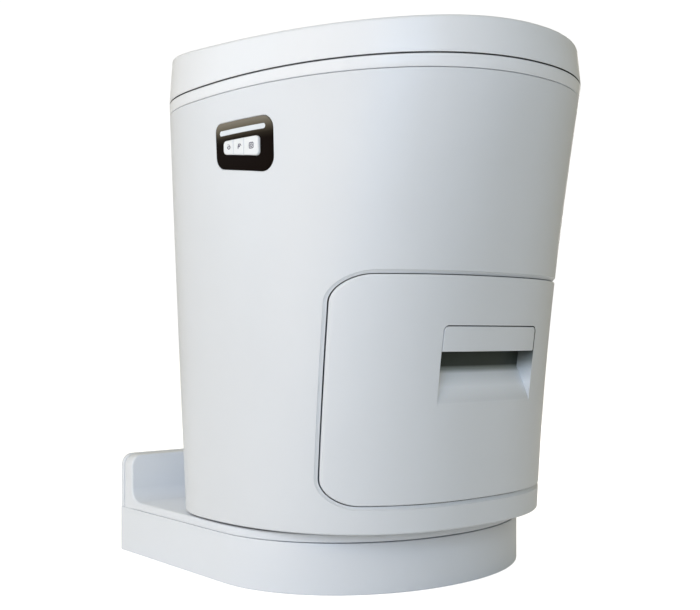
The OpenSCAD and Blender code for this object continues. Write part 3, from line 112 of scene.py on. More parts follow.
def signed_power(v, e):
    return np.sign(v) * np.abs(v) ** e


def oval(w, l, n, a, inset):
    """Superellipse points at angles a, moved in by inset along their normals."""
    c, s = np.cos(a), np.sin(a)
    nx = signed_power(c, 2 - 2 / n) / w
    ny = signed_power(s, 2 - 2 / n) / l
    m = np.hypot(nx, ny)
    return w * signed_power(c, 2 / n) - inset * nx / m, l * signed_power(s, 2 / n) - inset * ny / m


def even_angles(count, w, front, rear, front_power, rear_power):
    """Angles that space points evenly along a body outline."""
    a = np.linspace(0, 2 * np.pi, 20001)
    ahead = np.sin(a) < 0
    x, y = oval(w, np.where(ahead, front, rear), np.where(ahead, front_power, rear_power), a, 0)
    s = np.concatenate([[0], np.cumsum(np.hypot(np.diff(x), np.diff(y)))])
    return np.interp(np.linspace(0, s[-1], count, endpoint=False), s, a)


ANGLES = even_angles(320, 190.0, 240.0, 145.0, 2.3, 2.5)


def body_ring(z, inset):
    """Outline of the body at height z, moved in by inset."""
    ahead = np.sin(ANGLES) < 0
    l = np.where(ahead, front_l(z), rear_l(z))
    n = np.where(ahead, front_n(z), rear_n(z))
    x, y = oval(half_w(z), l, n, ANGLES, inset)
    return np.stack([x, y + mid_y(z), np.full_like(x, z)], 1)


def front_y(x, z):
    """Where the body's front surface lies at (x, z)."""
    u = np.clip(1 - (np.abs(x) / half_w(z)) ** front_n(z), 0, 1)
    return mid_y(z) - front_l(z) * u ** (1 / front_n(z))


def side_x(y, z):
    """Half width of the body at (y, z)."""
    ahead = y < mid_y(z)
    n = np.where(ahead, front_n(z), rear_n(z))
    l = np.where(ahead, front_l(z), rear_l(z))
    return half_w(z) * np.clip(1 - (np.abs(y - mid_y(z)) / l) ** n, 0, 1) ** (1 / n)


def body_level(p):
    """1 on the body's surface, less inside and more outside, for points in mm."""
    z = p[:, 2]
    y = p[:, 1] - mid_y(z)
    l = np.where(y < 0, front_l(z), rear_l(z))
    n = np.where(y < 0, front_n(z), rear_n(z))
    g = (np.abs(p[:, 0]) / half_w(z)) ** n + (np.abs(y) / l) ** n
    return g ** (1 / n)


def body_field(p):
    """Normals of the body's surface and distance from it, for points in mm."""
    step = 0.05
    grad = np.stack([(body_level(p + step * axis) - body_level(p - step * axis)) / (2 * step)
                     for axis in np.eye(3)], 1)
    size = np.linalg.norm(grad, axis=1)
    return grad / size[:, None], (body_level(p) - 1) / size


# Mesh helpers
def mesh_object(name, shape, mats=()):
    """Linked object from vertices in mm and faces; used alone it is only a cutter."""
    verts, faces = shape
    mesh = bpy.data.meshes.new(name)
    mesh.from_pydata([tuple(v) for v in np.asarray(verts, float) * MM], [],
                     [tuple(int(i) for i in f) for f in faces])
    bm = bmesh.new()
    bm.from_mesh(mesh)
    bmesh.ops.remove_doubles(bm, verts=bm.verts, dist=1e-6)
    bmesh.ops.recalc_face_normals(bm, faces=bm.faces)
    bm.to_mesh(mesh)
    bm.free()
    obj = bpy.data.objects.new(name, mesh)
    bpy.context.scene.collection.objects.link(obj)
    for mat in mats:
        mesh.materials.append(mat)
    return obj


def make(name, shape, body, mats, replaces=(), mat_index=None, sharp=34.0):
    """Visible piece that rides a body and stands for the nodes it replaces."""
    obj = mesh_object(name, shape, mats)
    if mat_index is not None:
        obj.data.polygons.foreach_set("material_index", mat_index)
    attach(obj, body)
    if replaces:
        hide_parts(*replaces)
    shade(obj, sharp)
    return obj


def shade(obj, sharp=34.0):
    """Smooth shading, with edges sharper than the angle kept."""
    mesh = obj.data
    mesh.polygons.foreach_set("use_smooth", [True] * len(mesh.polygons))
    mesh.set_sharp_from_angle(angle=math.radians(sharp))
    mesh.update()


def skin(rings, ends):
    """Vertices and faces through equal rings; ends is 'loop' or 'flat'."""
    r = np.asarray(rings, float)
    m, n = r.shape[:2]
    rows = np.arange(m if ends == "loop" else m - 1)
    jj, ii = np.meshgrid(rows, np.arange(n), indexing="ij")
    a = jj * n + ii
    b = jj * n + (ii + 1) % n
    c = ((jj + 1) % m) * n + (ii + 1) % n
    d = ((jj + 1) % m) * n + ii
    faces = np.stack([a, b, c, d], -1).reshape(-1, 4).tolist()
    if ends == "flat":
        faces.append(list(range(n))[::-1])
        faces.append([(m - 1) * n + k for k in range(n)])
    return r.reshape(-1, 3), faces


def round_poly(pts, radii, steps=10):
    """Closed outline with each corner rounded by its own radius."""
    out = []
    count = len(pts)
    pts = [np.asarray(p, float) for p in pts]
    for i in range(count):
        before, corner, after = pts[i - 1], pts[i], pts[(i + 1) % count]
        r = max(radii[i], 1e-3)
        u = (before - corner) / np.linalg.norm(before - corner)
        v = (after - corner) / np.linalg.norm(after - corner)
        half = math.acos(float(np.clip(u @ v, -1, 1))) / 2
        w = (u + v) / np.linalg.norm(u + v)
        centre = corner + w * r / math.sin(half)
        start = corner + u * r / math.tan(half) - centre
        end = corner + v * r / math.tan(half) - centre
        t0 = math.atan2(start[1], start[0])
        dt = (math.atan2(end[1], end[0]) - t0 + math.pi) % (2 * math.pi) - math.pi
        for q in range(steps + 1):
            t = t0 + dt * q / steps
            out.append(centre + r * np.array([math.cos(t), math.sin(t)]))
    return np.array(out)


def round_rect(x0, x1, y0, y1, r, steps=10):
    return round_poly([(x0, y0), (x1, y0), (x1, y1), (x0, y1)], [r] * 4, steps)


def resample(pts, step):
    """Closed outline with points about step apart, corners kept."""
    out = []
    for p, q in zip(pts, np.roll(pts, -1, 0)):
        k = max(1, int(math.ceil(np.linalg.norm(q - p) / step)))
        for i in range(k):
            out.append(p + (q - p) * i / k)
    return np.array(out)


def outline_normals(pts):
    t = np.roll(pts, -1, 0) - np.roll(pts, 1, 0)
    t /= np.linalg.norm(t, axis=1)[:, None]
    return np.stack([t[:, 1], -t[:, 0]], 1)


def at_y(pts, y):
    """Ring of an (x, z) outline in the plane at y."""
    return np.stack([pts[:, 0], np.full(len(pts), y), pts[:, 1]], 1)


def quarter_turn(count):
    return np.linspace(0, math.pi / 2, count)


def boolean(obj, cutter, operation="DIFFERENCE"):
    """Apply a boolean to the mesh and delete the cutter."""
    mod = obj.modifiers.new("cut", "BOOLEAN")
    mod.object = cutter
    mod.operation = operation
    mod.solver = "EXACT"
    graph = bpy.context.evaluated_depsgraph_get()
    mesh = bpy.data.meshes.new_from_object(obj.evaluated_get(graph))
    obj.modifiers.clear()
    old = obj.data
    obj.data = mesh
    bpy.data.meshes.remove(old)
    gone = cutter.data
    bpy.data.objects.remove(cutter)
    bpy.data.meshes.remove(gone)


def skin_normals(obj, limit, cos_min):
    """Exact normals where a corner lies within limit of the body's smooth surface."""
    mesh = obj.data
    co = np.empty(len(mesh.vertices) * 3)
    mesh.vertices.foreach_get("co", co)
    normals, dist = body_field(co.reshape(-1, 3) / MM)
    loops = np.empty(len(mesh.loops) * 3)
    mesh.corner_normals.foreach_get("vector", loops)
    loops = loops.reshape(-1, 3)
    vertex = np.empty(len(mesh.loops), int)
    mesh.loops.foreach_get("vertex_index", vertex)
    want = normals[vertex]
    dot = np.einsum("ij,ij->i", want, loops)
    ok = (np.abs(dist[vertex]) < limit) & (np.abs(dot) > cos_min)
    loops[ok] = want[ok] * np.sign(dot[ok])[:, None]
    mesh.normals_split_custom_set([tuple(v) for v in loops])
    mesh.update()


# Material helpers
def new_mat(name):
    m = bpy.data.materials.new(name)
    m.use_nodes = True
    nt = m.node_tree
    nt.nodes.clear()
    out = nt.nodes.new("ShaderNodeOutputMaterial")
    bs = nt.nodes.new("ShaderNodeBsdfPrincipled")
    nt.links.new(bs.outputs[0], out.inputs[0])
    return m, nt, bs


def noise(nt, scale, detail=2.0, stretch=None):
    """Noise in object space, drawn out along one way where stretch is given."""
    place = nt.nodes.new("ShaderNodeTexCoord").outputs["Object"]
    if stretch:
        mapping = nt.nodes.new("ShaderNodeMapping")
        mapping.inputs["Scale"].default_value = stretch
        nt.links.new(place, mapping.inputs["Vector"])
        place = mapping.outputs[0]
    n = nt.nodes.new("ShaderNodeTexNoise")
    n.inputs["Scale"].default_value = scale
    n.inputs["Detail"].default_value = detail
    nt.links.new(place, n.inputs["Vector"])
    return n


def ramp(nt, source, p0, c0, p1, c1):
    r = nt.nodes.new("ShaderNodeValToRGB")
    e = r.color_ramp.elements
    e[0].position, e[0].color = p0, (*c0, 1)
    e[1].position, e[1].color = p1, (*c1, 1)
    nt.links.new(source, r.inputs[0])
    return r


def map_to(nt, source, low, high):
    """Map a value from 0 to 1 onto low to high."""
    mr = nt.nodes.new("ShaderNodeMapRange")
    mr.inputs["To Min"].default_value = low
    mr.inputs["To Max"].default_value = high
    nt.links.new(source, mr.inputs["Value"])
    return mr


def plastic(name, color, rough, grain=0.0, spread=0.03):
    """Moulded plastic: faint mottling, a fine moulded grain and uneven gloss."""
    m, nt, bs = new_mat(name)
    dark = [c * (1 - spread) for c in color]
    pale = [min(1.0, c * (1 + spread)) for c in color]
    mottle = ramp(nt, noise(nt, 9.0, 3.0).outputs["Fac"], 0.3, dark, 0.7, pale)
    nt.links.new(mottle.outputs[0], bs.inputs["Base Color"])
    gloss = map_to(nt, noise(nt, 40.0, 3.0).outputs["Fac"], max(0.02, rough - 0.03), rough + 0.03)
    nt.links.new(gloss.outputs[0], bs.inputs["Roughness"])
    if grain:
        bump = nt.nodes.new("ShaderNodeBump")
        bump.inputs["Strength"].default_value = grain
        bump.inputs["Distance"].default_value = 0.0001
        nt.links.new(noise(nt, 900.0).outputs["Fac"], bump.inputs["Height"])
        nt.links.new(bump.outputs[0], bs.inputs["Normal"])
    bs.inputs["IOR"].default_value = 1.5
    return m


def metal(name, color, rough):
    """Drawn metal: fine lines along one way in colour and gloss."""
    m, nt, bs = new_mat(name)
    lines = noise(nt, 120.0, 4.0, stretch=(1, 1, 30)).outputs["Fac"]
    tone = ramp(nt, lines, 0.3, [c * 0.88 for c in color], 0.7, color)
    nt.links.new(tone.outputs[0], bs.inputs["Base Color"])
    gloss = map_to(nt, lines, rough - 0.06, rough + 0.06)
    nt.links.new(gloss.outputs[0], bs.inputs["Roughness"])
    bs.inputs["Metallic"].default_value = 1.0
    return m


def painted_light_by_height(name, rough, specular, stops):
    """Plastic with painted light or shade that changes with height; stops are (height in metres,
    colour).
    """
    m, nt, bs = new_mat(name)
    place = nt.nodes.new("ShaderNodeTexCoord")
    split = nt.nodes.new("ShaderNodeSeparateXYZ")
    nt.links.new(place.outputs["Object"], split.inputs[0])
    z0, z1 = stops[0][0], stops[-1][0]
    share = map_to(nt, split.outputs["Z"], 0.0, 1.0)
    share.inputs["From Min"].default_value = z0
    share.inputs["From Max"].default_value = z1
    tone = ramp(nt, share.outputs[0], 0.0, stops[0][1], 1.0, stops[-1][1])
    for z, color in stops[1:-1]:
        stop = tone.color_ramp.elements.new((z - z0) / (z1 - z0))
        stop.color = (*color, 1)
    blend = nt.nodes.new("ShaderNodeMix")
    blend.data_type = "RGBA"
    blend.blend_type = "MULTIPLY"
    blend.inputs["Factor"].default_value = 0.05
    nt.links.new(tone.outputs[0], blend.inputs["A"])
    nt.links.new(noise(nt, 500.0).outputs["Color"], blend.inputs["B"])
    nt.links.new(blend.outputs["Result"], bs.inputs["Base Color"])
    bs.inputs["Roughness"].default_value = rough
    bs.inputs["Specular IOR Level"].default_value = specular
    return m


def glowing():
    """Pale strip with a weak, slightly uneven light of its own."""
    m, nt, bs = new_mat("bar_light")
    bs.inputs["Base Color"].default_value = (0.70, 0.74, 0.78, 1)
    bs.inputs["Roughness"].default_value = 0.3
    tone = ramp(nt, noise(nt, 60.0).outputs["Fac"], 0.2, (0.86, 0.91, 1.0), 0.8, (1, 1, 1))
    nt.links.new(tone.outputs[0], bs.inputs["Emission Color"])
    bs.inputs["Emission Strength"].default_value = 0.06
    return m


# Materials
WHITE = (0.74, 0.765, 0.80)
MATS = {
    "casing": plastic("casing_satin", WHITE, 0.34, grain=0.10, spread=0.012),
    "gloss": plastic("seat_gloss", (0.82, 0.84, 0.87), 0.30, grain=0.02, spread=0.01),
    "base": plastic("base_satin", (0.79, 0.82, 0.865), 0.30, grain=0.03, spread=0.006),
    "inner": plastic("inner_grey", (0.42, 0.45, 0.48), 0.5, grain=0.25, spread=0.04),
    "bin": plastic("bin_grey", (0.30, 0.32, 0.35), 0.48, grain=0.3, spread=0.05),
    # The panel's colour carries a painted reflection: black low down, turning brown towards its top.
    "panel": painted_light_by_height("panel_painted_reflection", 0.45, 0.03, ((0.430, (0.006, 0.003, 0.002)),
                   (0.435, (0.020, 0.015, 0.010)), (0.440, (0.075, 0.062, 0.045)),
                   (0.446, (0.17, 0.15, 0.115)), (0.451, (0.24, 0.215, 0.175)))),
    "dark": plastic("dark_plastic", (0.03, 0.03, 0.033), 0.5, grain=0.3, spread=0.15),
    "key": plastic("key_white", (0.83, 0.85, 0.87), 0.32, grain=0.05, spread=0.01),
    "mark": plastic("key_mark", (0.035, 0.03, 0.085), 0.5, spread=0.05),
    "rubber": plastic("rubber_dark", (0.035, 0.035, 0.036), 0.75, grain=0.5, spread=0.2),
    "silicone": plastic("silicone_red", (0.45, 0.13, 0.06), 0.45, grain=0.2, spread=0.1),
    "film": plastic("liner_film", (0.70, 0.73, 0.76), 0.28, spread=0.04),
    "board": plastic("board_green", (0.02, 0.16, 0.07), 0.4, grain=0.2, spread=0.15),
    "steel": metal("steel_drawn", (0.56, 0.57, 0.59), 0.3),
    "light": glowing(),
    # The recess colours carry painted shade, darkest at the top under the plate and fading downwards,
    # with a painted lighter band on the ramp below; the side walls likewise.
    "recess": painted_light_by_height("recess_painted_shade", 0.5, 0.3, ((0.184, WHITE), (0.196, (0.90, 0.93, 0.97)),
                    (0.2085, (0.80, 0.83, 0.86)), (0.2125, (0.30, 0.33, 0.32)),
                    (0.216, (0.035, 0.045, 0.038)), (0.254, (0.02, 0.026, 0.022)))),
    "recess_side": painted_light_by_height("recess_side", 0.45, 0.3, ((0.186, WHITE), (0.198, (0.92, 0.94, 0.97)),
                         (0.211, (0.70, 0.74, 0.77)), (0.220, (0.30, 0.325, 0.325)),
                         (0.229, (0.10, 0.115, 0.11)), (0.254, (0.04, 0.05, 0.048)))),
}
SLOT_MAT = {"casing_white": "casing", "gloss_white": "gloss", "base_white": "base",
            "inner_grey": "inner", "panel_black": "panel", "dark_plastic": "dark",
            "key_white": "key", "steel": "steel", "rubber_dark": "rubber",
            "silicone": "silicone", "film": "film", "light": "light", "board_green": "board"}
BIN_NODES = ("waste_bin", "drawer_tray")


def dress_nodes():
    """Give every node of the frame the material of its slot."""
    for row in frame["record"]["subparts"]:
        obj = frame["nodes"][row["node"]]
        mat = MATS["bin" if row["node"] in BIN_NODES else SLOT_MAT[row["material_slot"]]]
        if not obj.material_slots:
            obj.data.materials.append(mat)
        for slot in obj.material_slots:
            slot.material = mat


# Casing
DOOR_W = 151.0
DOOR_Z0 = 88.0
DOOR_Z1 = 300.0
DOOR_R = 25.0
DOOR_GAP = 0.9
CHAMFER = 3.3
# Planes clear of the body, where a cutter ends
OUTSIDE = -300.0
INSIDE_FRONT = -60.0
INSIDE_LEFT = -150.0


def lift_front(pts, grow, depth):
    """Points of an (x, z) outline laid on the front surface, depth behind it."""
    p = pts + outline_normals(pts) * grow
    return np.stack([p[:, 0], front_y(p[:, 0], p[:, 1]) + depth, p[:, 1]], 1)


def lift_side(pts, grow, depth):
    """Points of a (y, z) outline laid on the left side, depth behind it."""
    p = pts + outline_normals(pts) * grow
    return np.stack([-side_x(p[:, 0], p[:, 1]) + depth, p[:, 0], p[:, 1]], 1)


def onto_plane(ring, axis, value):
    """A copy of a ring moved onto a plane, so that a cutter's cap is flat."""
    out = ring.copy()
    out[:, axis] = value
    return out


def front_cutter(name, outline, profile, behind):
    """Cutter through the front surface; profile is a list of (grow, depth)."""
    rings = [lift_front(outline, grow, depth) for grow, depth in profile]
    rings.insert(0, onto_plane(rings[0], 1, OUTSIDE))
    rings.append(onto_plane(lift_front(outline, 0.0, behind), 1, INSIDE_FRONT))
    return mesh_object(name, skin(rings, "flat"))


def casing():
    hem = 2.0
    wall = 3.6
    outer = [body_ring(BODY_Z0 + hem * (1 - math.cos(t)), hem * (1 - math.sin(t)))
             for t in quarter_turn(6)]
    outer += [body_ring(z, 0) for z in np.linspace(BODY_Z0 + hem + 4, CASING_Z1 - 1.2, 84)]
    outer += [body_ring(CASING_Z1 - 0.35, 0.2), body_ring(CASING_Z1, 0.9)]
    inner = [body_ring(z, wall) for z in np.linspace(CASING_Z1, BODY_Z0, 30)]
    obj = make("casing_shell", skin(outer + inner, "loop"), "body", [MATS["casing"]],
               ("casing",))
    door = resample(round_rect(-DOOR_W - DOOR_GAP, DOOR_W + DOOR_GAP, DOOR_Z0 - DOOR_GAP,
                               DOOR_Z1 + DOOR_GAP, DOOR_R + DOOR_GAP, 16), 5.0)
    # The chamfer around the door, as shares of its width and depth
    rings = [onto_plane(lift_front(door, CHAMFER + 1.0, -1.0), 1, OUTSIDE)]
    rings += [lift_front(door, CHAMFER * w, CHAMFER * d) for w, d in
              ((1.24, -0.3), (1.0, 0.0), (0.93, 0.14), (0.55, 0.62), (0.0, 1.0))]
    rings.append(onto_plane(lift_front(door, 0.0, 16.0), 1, INSIDE_FRONT))
    boolean(obj, mesh_object("door_cut", skin(rings, "flat")))
    panel = resample(panel_outline(0.25), 4.0)
    rings = [onto_plane(lift_side(panel, 1.2, -1.0), 0, OUTSIDE), lift_side(panel, 1.2, -1.0),
             lift_side(panel, 0.5, 0.0), lift_side(panel, 0, 0.5),
             onto_plane(lift_side(panel, 0, 12.0), 0, INSIDE_LEFT)]
    boolean(obj, mesh_object("panel_cut", skin(rings, "flat")))
    shade(obj, 28)
    skin_normals(obj, limit=0.05, cos_min=0.975)


# Drawer front with its finger recess
GRIP_W = 65.0
GRIP_Z0 = 182.0
GRIP_Z1 = 254.0
GRIP_R = 6.0
GRIP_FLOOR_Z = 215.0
GRIP_DEPTH = 19.0
GRIP_WALL = 0.9
DOOR_T = 3.4
PADDLE_Z0 = 229.5
PADDLE_T = 7.8
PADDLE_GAP = 0.9


def grip_depth(x, z):
    """Depth of the finger recess behind the front surface at (x, z)."""
    t = np.clip((z - (GRIP_Z0 - 4)) / (GRIP_FLOOR_Z - GRIP_Z0 + 2), 0, 1)
    slope = GRIP_DEPTH * (0.25 * t * t * (3 - 2 * t) + 0.75 * t ** 1.45)
    side = np.clip((GRIP_W - np.abs(x)) / GRIP_WALL, 0, 1)
    top = np.clip((GRIP_Z1 - z) / GRIP_WALL, 0, 1)
    cx = np.clip(np.abs(x) - (GRIP_W - GRIP_R), 0, None)
    cz = np.clip(z - (GRIP_Z1 - GRIP_R), 0, None)
    corner = np.clip((GRIP_R - np.hypot(cx, cz)) / GRIP_WALL, 0, 1)
    return slope * np.minimum(np.minimum(side, top), np.where((cx > 0) & (cz > 0), corner, 1))


def slab(xs, zs, front, back):
    """Closed block between two surfaces laid over the same (x, z) grid."""
    X, Z = np.meshgrid(xs, zs)
    h, w = X.shape
    m = h * w
    v = np.concatenate([np.stack([X, front(X, Z), Z], -1).reshape(-1, 3),
                        np.stack([X, back(X, Z), Z], -1).reshape(-1, 3)])
    f = []
    for j in range(h - 1):
        for i in range(w - 1):
            a = j * w + i
            f.append((a, a + 1, a + w + 1, a + w))
            f.append((m + a, m + a + w, m + a + w + 1, m + a + 1))
    rim = [i for i in range(w)] + [j * w + w - 1 for j in range(1, h)] \
        + [(h - 1) * w + i for i in range(w - 2, -1, -1)] + [j * w for j in range(h - 2, 0, -1)]
    for a, b in zip(rim, rim[1:] + rim[:1]):
        f.append((b, a, m + a, m + b))
    return v, f


def merged(*parts):
    return np.unique(np.round(np.concatenate([np.linspace(*p) for p in parts]), 4))


def door_front():
    xs = merged((-DOOR_W - 2, DOOR_W + 2, 123), (-GRIP_W - 1, -GRIP_W + 7, 33),
                (GRIP_W - 7, GRIP_W + 1, 33))
    zs = merged((DOOR_Z0 - 2, DOOR_Z1 + 2, 87), (GRIP_Z0 - 6, GRIP_Z0 + 10, 17),
                (GRIP_FLOOR_Z - 5, GRIP_FLOOR_Z + 3, 17), (GRIP_Z1 - 7, GRIP_Z1 + 1, 33))

    def front(x, z):
        return front_y(x, z) + grip_depth(x, z)

    def back(x, z):
        behind_grip = (np.abs(x) < GRIP_W + 2) & (z < GRIP_Z1 + 2)
        depth = np.where(behind_grip, grip_depth(x * 0.97, z) + 2.2, DOOR_T)
        return front_y(x, z) + np.maximum(DOOR_T, depth)

    obj = make("door_skin", slab(xs, zs, front, back), "drawer",
               [MATS["casing"], MATS["recess"], MATS["recess_side"]],
               ("door_front",))
    edge = resample(round_rect(-DOOR_W, DOOR_W, DOOR_Z0, DOOR_Z1, DOOR_R, 16), 4.0)
    profile = ((-1.8, -1.2), (-1.6, 0.0), (-0.95, 0.14), (-0.4, 0.5), (-0.08, 1.0), (0.0, 1.6))
    boolean(obj, front_cutter("door_edge", edge, profile, 60.0), "INTERSECT")
    # Faces inside the finger recess take the materials with painted shade: side walls one, back wall
    # and ramp the other.
    for poly in obj.data.polygons:
        x, y, z = (q / MM for q in poly.center)
        deep = y - float(front_y(x, z)) > 0.7
        if deep and abs(x) < GRIP_W + 0.5 and GRIP_Z0 - 4 < z < GRIP_Z1 + 1:
            poly.material_index = 2 if abs(poly.normal.x) > 0.72 and abs(x) > GRIP_W - 2 else 1
    shade(obj, 40)
    skin_normals(obj, limit=0.02, cos_min=0.97)


def paddle():
    xs = np.linspace(-GRIP_W - 1, GRIP_W + 1, 67)
    zs = np.linspace(PADDLE_Z0 - 1, GRIP_Z1 + 1, 21)
    block = slab(xs, zs, front_y, lambda x, z: front_y(x, z) + PADDLE_T)
    obj = make("paddle_plate", block, "paddle", [MATS["casing"]],
               ("handle_paddle",))
    half = GRIP_W - PADDLE_GAP
    z1 = GRIP_Z1 - PADDLE_GAP
    r = GRIP_R - PADDLE_GAP
    edge = resample(round_poly([(-half, PADDLE_Z0), (half, PADDLE_Z0), (half, z1), (-half, z1)],
                               [1.5, 1.5, r, r], 8), 3.0)
    profile = ((-1.0, -1.5), (-0.9, 0.0), (-0.45, 0.12), (-0.13, 0.4), (0.0, 0.9))
    boolean(obj, front_cutter("paddle_edge", edge, profile, 40.0), "INTERSECT")
    shade(obj, 40)
    skin_normals(obj, limit=0.02, cos_min=0.97)


# Control panel
PANEL = dict(y0=-57.5, y1=23.0, z0=397.0, z1=451.0, rise=11.0, lean=1.0, r=13.0, rear_r=8.0)
BAR = dict(y0=-49.0, y1=15.5, z=441.0, half=2.45, r=2.44)
KEY = dict(y0=-42.5, a=-22.5, b=-7.5, y1=7.5, z1=432.7, z0=413.5, rise=6.5, r=4.0, gap=0.25)
SIGN_DEPTH = -3.04


def panel_outline(grow):
    p = PANEL
    return round_poly([(p["y0"] - grow, p["z0"] - grow),
                       (p["y1"] - p["lean"] + grow, p["z0"] + p["rise"] - grow),
                       (p["y1"] + grow, p["z1"] + grow), (p["y0"] - grow, p["z1"] + grow)],
                      [p["r"] + grow, p["r"] + grow, p["rear_r"] + grow, p["r"] + grow], 12)


def side_piece(name, outline, profile, body, mat, replaces):
    """A piece that follows the left side; profile is a list of (grow, depth)."""
    pts = resample(outline, 2.0)
    middle = pts.mean(0)
    grow, depth = profile[0]
    rim = pts + outline_normals(pts) * grow
    face = [lift_side(middle + (rim - middle) * share, 0.0, depth) for share in (0.25, 0.5, 0.75)]
    rings = [lift_side(pts, *step) for step in profile]
    make(name, skin(face + rings, "flat"), body, [mat], replaces)


def control_panel():
    side_piece("panel_face", panel_outline(-0.05),
               [(-1.2, -0.6), (-0.7, -0.55), (-0.25, -0.35), (0.0, 0.0), (0.0, 3.4), (4.0, 3.4),
                (4.0, 5.3)],
               "body", MATS["panel"], ("control_panel",))
    bar = round_rect(BAR["y0"], BAR["y1"], BAR["z"] - BAR["half"], BAR["z"] + BAR["half"],
                     BAR["r"], 10)
    side_piece("light_strip", bar, [(-0.9, -0.85), (-0.4, -0.8), (0.0, -0.6), (0.0, 1.6)],
               "body", MATS["light"], ("light_bar",))


def key_low(y):
    return KEY["z0"] + KEY["rise"] * (y - KEY["y0"]) / (KEY["y1"] - KEY["y0"])


def key(name, y0, y1, body, node):
    """One key cap between y0 and y1; only the row's outer corners are well rounded."""
    g = KEY["gap"]
    front_r = KEY["r"] if y0 == KEY["y0"] else 0.5
    rear_r = KEY["r"] if y1 == KEY["y1"] else 0.5
    pts = round_poly([(y0 + g, key_low(y0)), (y1 - g, key_low(y1)), (y1 - g, KEY["z1"]),
                      (y0 + g, KEY["z1"])], [front_r, rear_r, rear_r, front_r], 8)
    side_piece(name, pts, [(-1.3, -3.0), (-0.7, -2.9), (-0.25, -2.6), (0.0, -2.1), (0.0, 6.0)],
               body, MATS["key"], (node,))


def strokes(name, lines, y, z, size, body):
    """Small printed sign made of thin strokes, laid on the key's face."""
    half_stroke = 0.42
    thickness = 0.03
    verts, faces = [], []
    for line in lines:
        p = np.array(line, float) * size + (y, z)
        t = np.diff(p, axis=0)
        t = np.concatenate([t, t[-1:]])
        t /= np.linalg.norm(t, axis=1)[:, None]
        across = np.stack([-t[:, 1], t[:, 0]], 1) * half_stroke
        first = len(verts)
        k = len(p)
        for side in (p + across, p - across):
            verts += [(-side_x(q[0], q[1]) + SIGN_DEPTH, q[0], q[1]) for q in side]
        faces += [(first + i, first + i + 1, first + k + i + 1, first + k + i)
                  for i in range(k - 1)]
    under = np.array(verts)
    top = under - (thickness, 0, 0)
    n = len(verts)
    both = [tuple(i + n for i in f) for f in faces] + [f[::-1] for f in faces]
    make(name, (np.concatenate([under, top]), both), body, [MATS["mark"]])


def keys():
    key("key_front_cap", KEY["y0"], KEY["a"], "key_front", "button_front")
    key("key_middle_cap", KEY["a"], KEY["b"], "key_middle", "button_middle")
    key("key_rear_cap", KEY["b"], KEY["y1"], "key_rear", "button_rear")
    ring = [(0.5 * math.cos(t), 0.5 * math.sin(t)) for t in np.linspace(0, 2 * math.pi, 25)]
    square = [tuple(p) for p in round_rect(-1.0, 1.0, -1.0, 1.0, 0.35, 4)]
    bowl = [(math.cos(t), math.sin(t)) for t in np.linspace(math.pi, 2 * math.pi, 14)]
    strokes("sign_front", [square + square[:1], ring], -33.3, 424.0, 2.6, "key_front")
    strokes("sign_middle", [[(-1, 0.1), (-0.2, 0.9)], [(-0.2, -0.4), (0.3, 0.9)],
                            [(-0.3, -0.1), (0.9, -0.3)], [(0.4, 0.9), (0.8, -1.0)]],
            -17.0, 425.2, 2.5, "key_middle")
    strokes("sign_rear", [bowl + [(-1, 0)], [(-0.7, 0.6), (-0.2, 0.6)], [(0.2, 0.9), (0.7, 0.9)]],
            -1.4, 426.4, 2.2, "key_rear")


# Seat
HOLE = dict(w=98.0, l=125.0, y=-15.0, n=2.3, round=8.0)
SEAT_EDGE_R = 1.3
SEAT_REAR_Y = 175.0


def hole_ring(grow, z):
    x, y = oval(HOLE["w"], HOLE["l"], HOLE["n"], ANGLES, -grow)
    return np.stack([x, y + HOLE["y"], np.full_like(x, z)], 1)


def seat_edge(z, inset):
    """Ring of the seat's outer edge, cut straight at the rear."""
    p = body_ring(z, inset)
    p[:, 1] = np.minimum(p[:, 1], SEAT_REAR_Y)
    return p


def seat_ring():
    low = SEAT_Z0 - 0.4
    profile = [(low, 0.7), (SEAT_Z0 - 0.2, 0.2), (SEAT_Z0 + 0.5, 0.0), (SEAT_Z0 + 4, 0.0)]
    profile += [(SEAT_Z1 - SEAT_EDGE_R * (1 - math.sin(t)), SEAT_EDGE_R * (1 - math.cos(t)))
                for t in quarter_turn(7)]
    outer = [seat_edge(z, inset) for z, inset in profile]
    r = HOLE["round"]
    lip = [hole_ring(r * (1 - math.sin(t)), SEAT_Z1 - r * (1 - math.cos(t)))
           for t in quarter_turn(8)]
    top = [outer[-1] * (1 - share) + lip[0] * share for share in (0.3, 0.6)]
    make("seat_top", skin(outer + top + lip + [hole_ring(0.0, low)], "loop"), "body",
         [MATS["gloss"]], ("seat_ring",))


# Lid: its top is lowest at one place and rises from there to the rear and the front.
LID_H = 33.0
LID_LOW_Y = -140.0
LID_REAR_Y = 201.0
LID_REAR_RISE = 23.3
LID_FRONT_Y = -232.0
LID_FRONT_RISE = 3.1
LID_CROWN = 2.0
LID_EDGE_R = 4.0
LID_DRAFT = 3.0
LID_T = 3.0
HINGE_CUT = dict(x0=31.0, x1=62.5, y0=185.0, y1=260.0, z1=511.5)


def lid_top(y):
    rear = np.clip((y - LID_LOW_Y) / (LID_REAR_Y - LID_LOW_Y), 0, None)
    front = np.clip((y - LID_LOW_Y) / (LID_FRONT_Y - LID_LOW_Y), 0, None)
    return LID_Z0 + LID_H + LID_REAR_RISE * rear ** 2 + LID_FRONT_RISE * front ** 2


def lid_ring(inset, drop):
    """Ring under the lid's top surface, drop below it."""
    p = body_ring(SEAM_Z, inset)
    p[:, 2] = lid_top(p[:, 1]) - drop
    return p


def lid_scaled(share, inset, drop):
    """Ring of the lid's top drawn in towards its middle, which is slightly crowned."""
    p = lid_ring(inset, 0)
    my = float(mid_y(SEAM_Z))
    y = my + (p[:, 1] - my) * share
    return np.stack([p[:, 0] * share, y, lid_top(y) - drop + LID_CROWN * (1 - share * share)], 1)


def rim_ring(inset, up):
    """Level ring at the lid's lower rim."""
    p = body_ring(SEAM_Z, inset)
    p[:, 2] = LID_Z0 + up
    return p


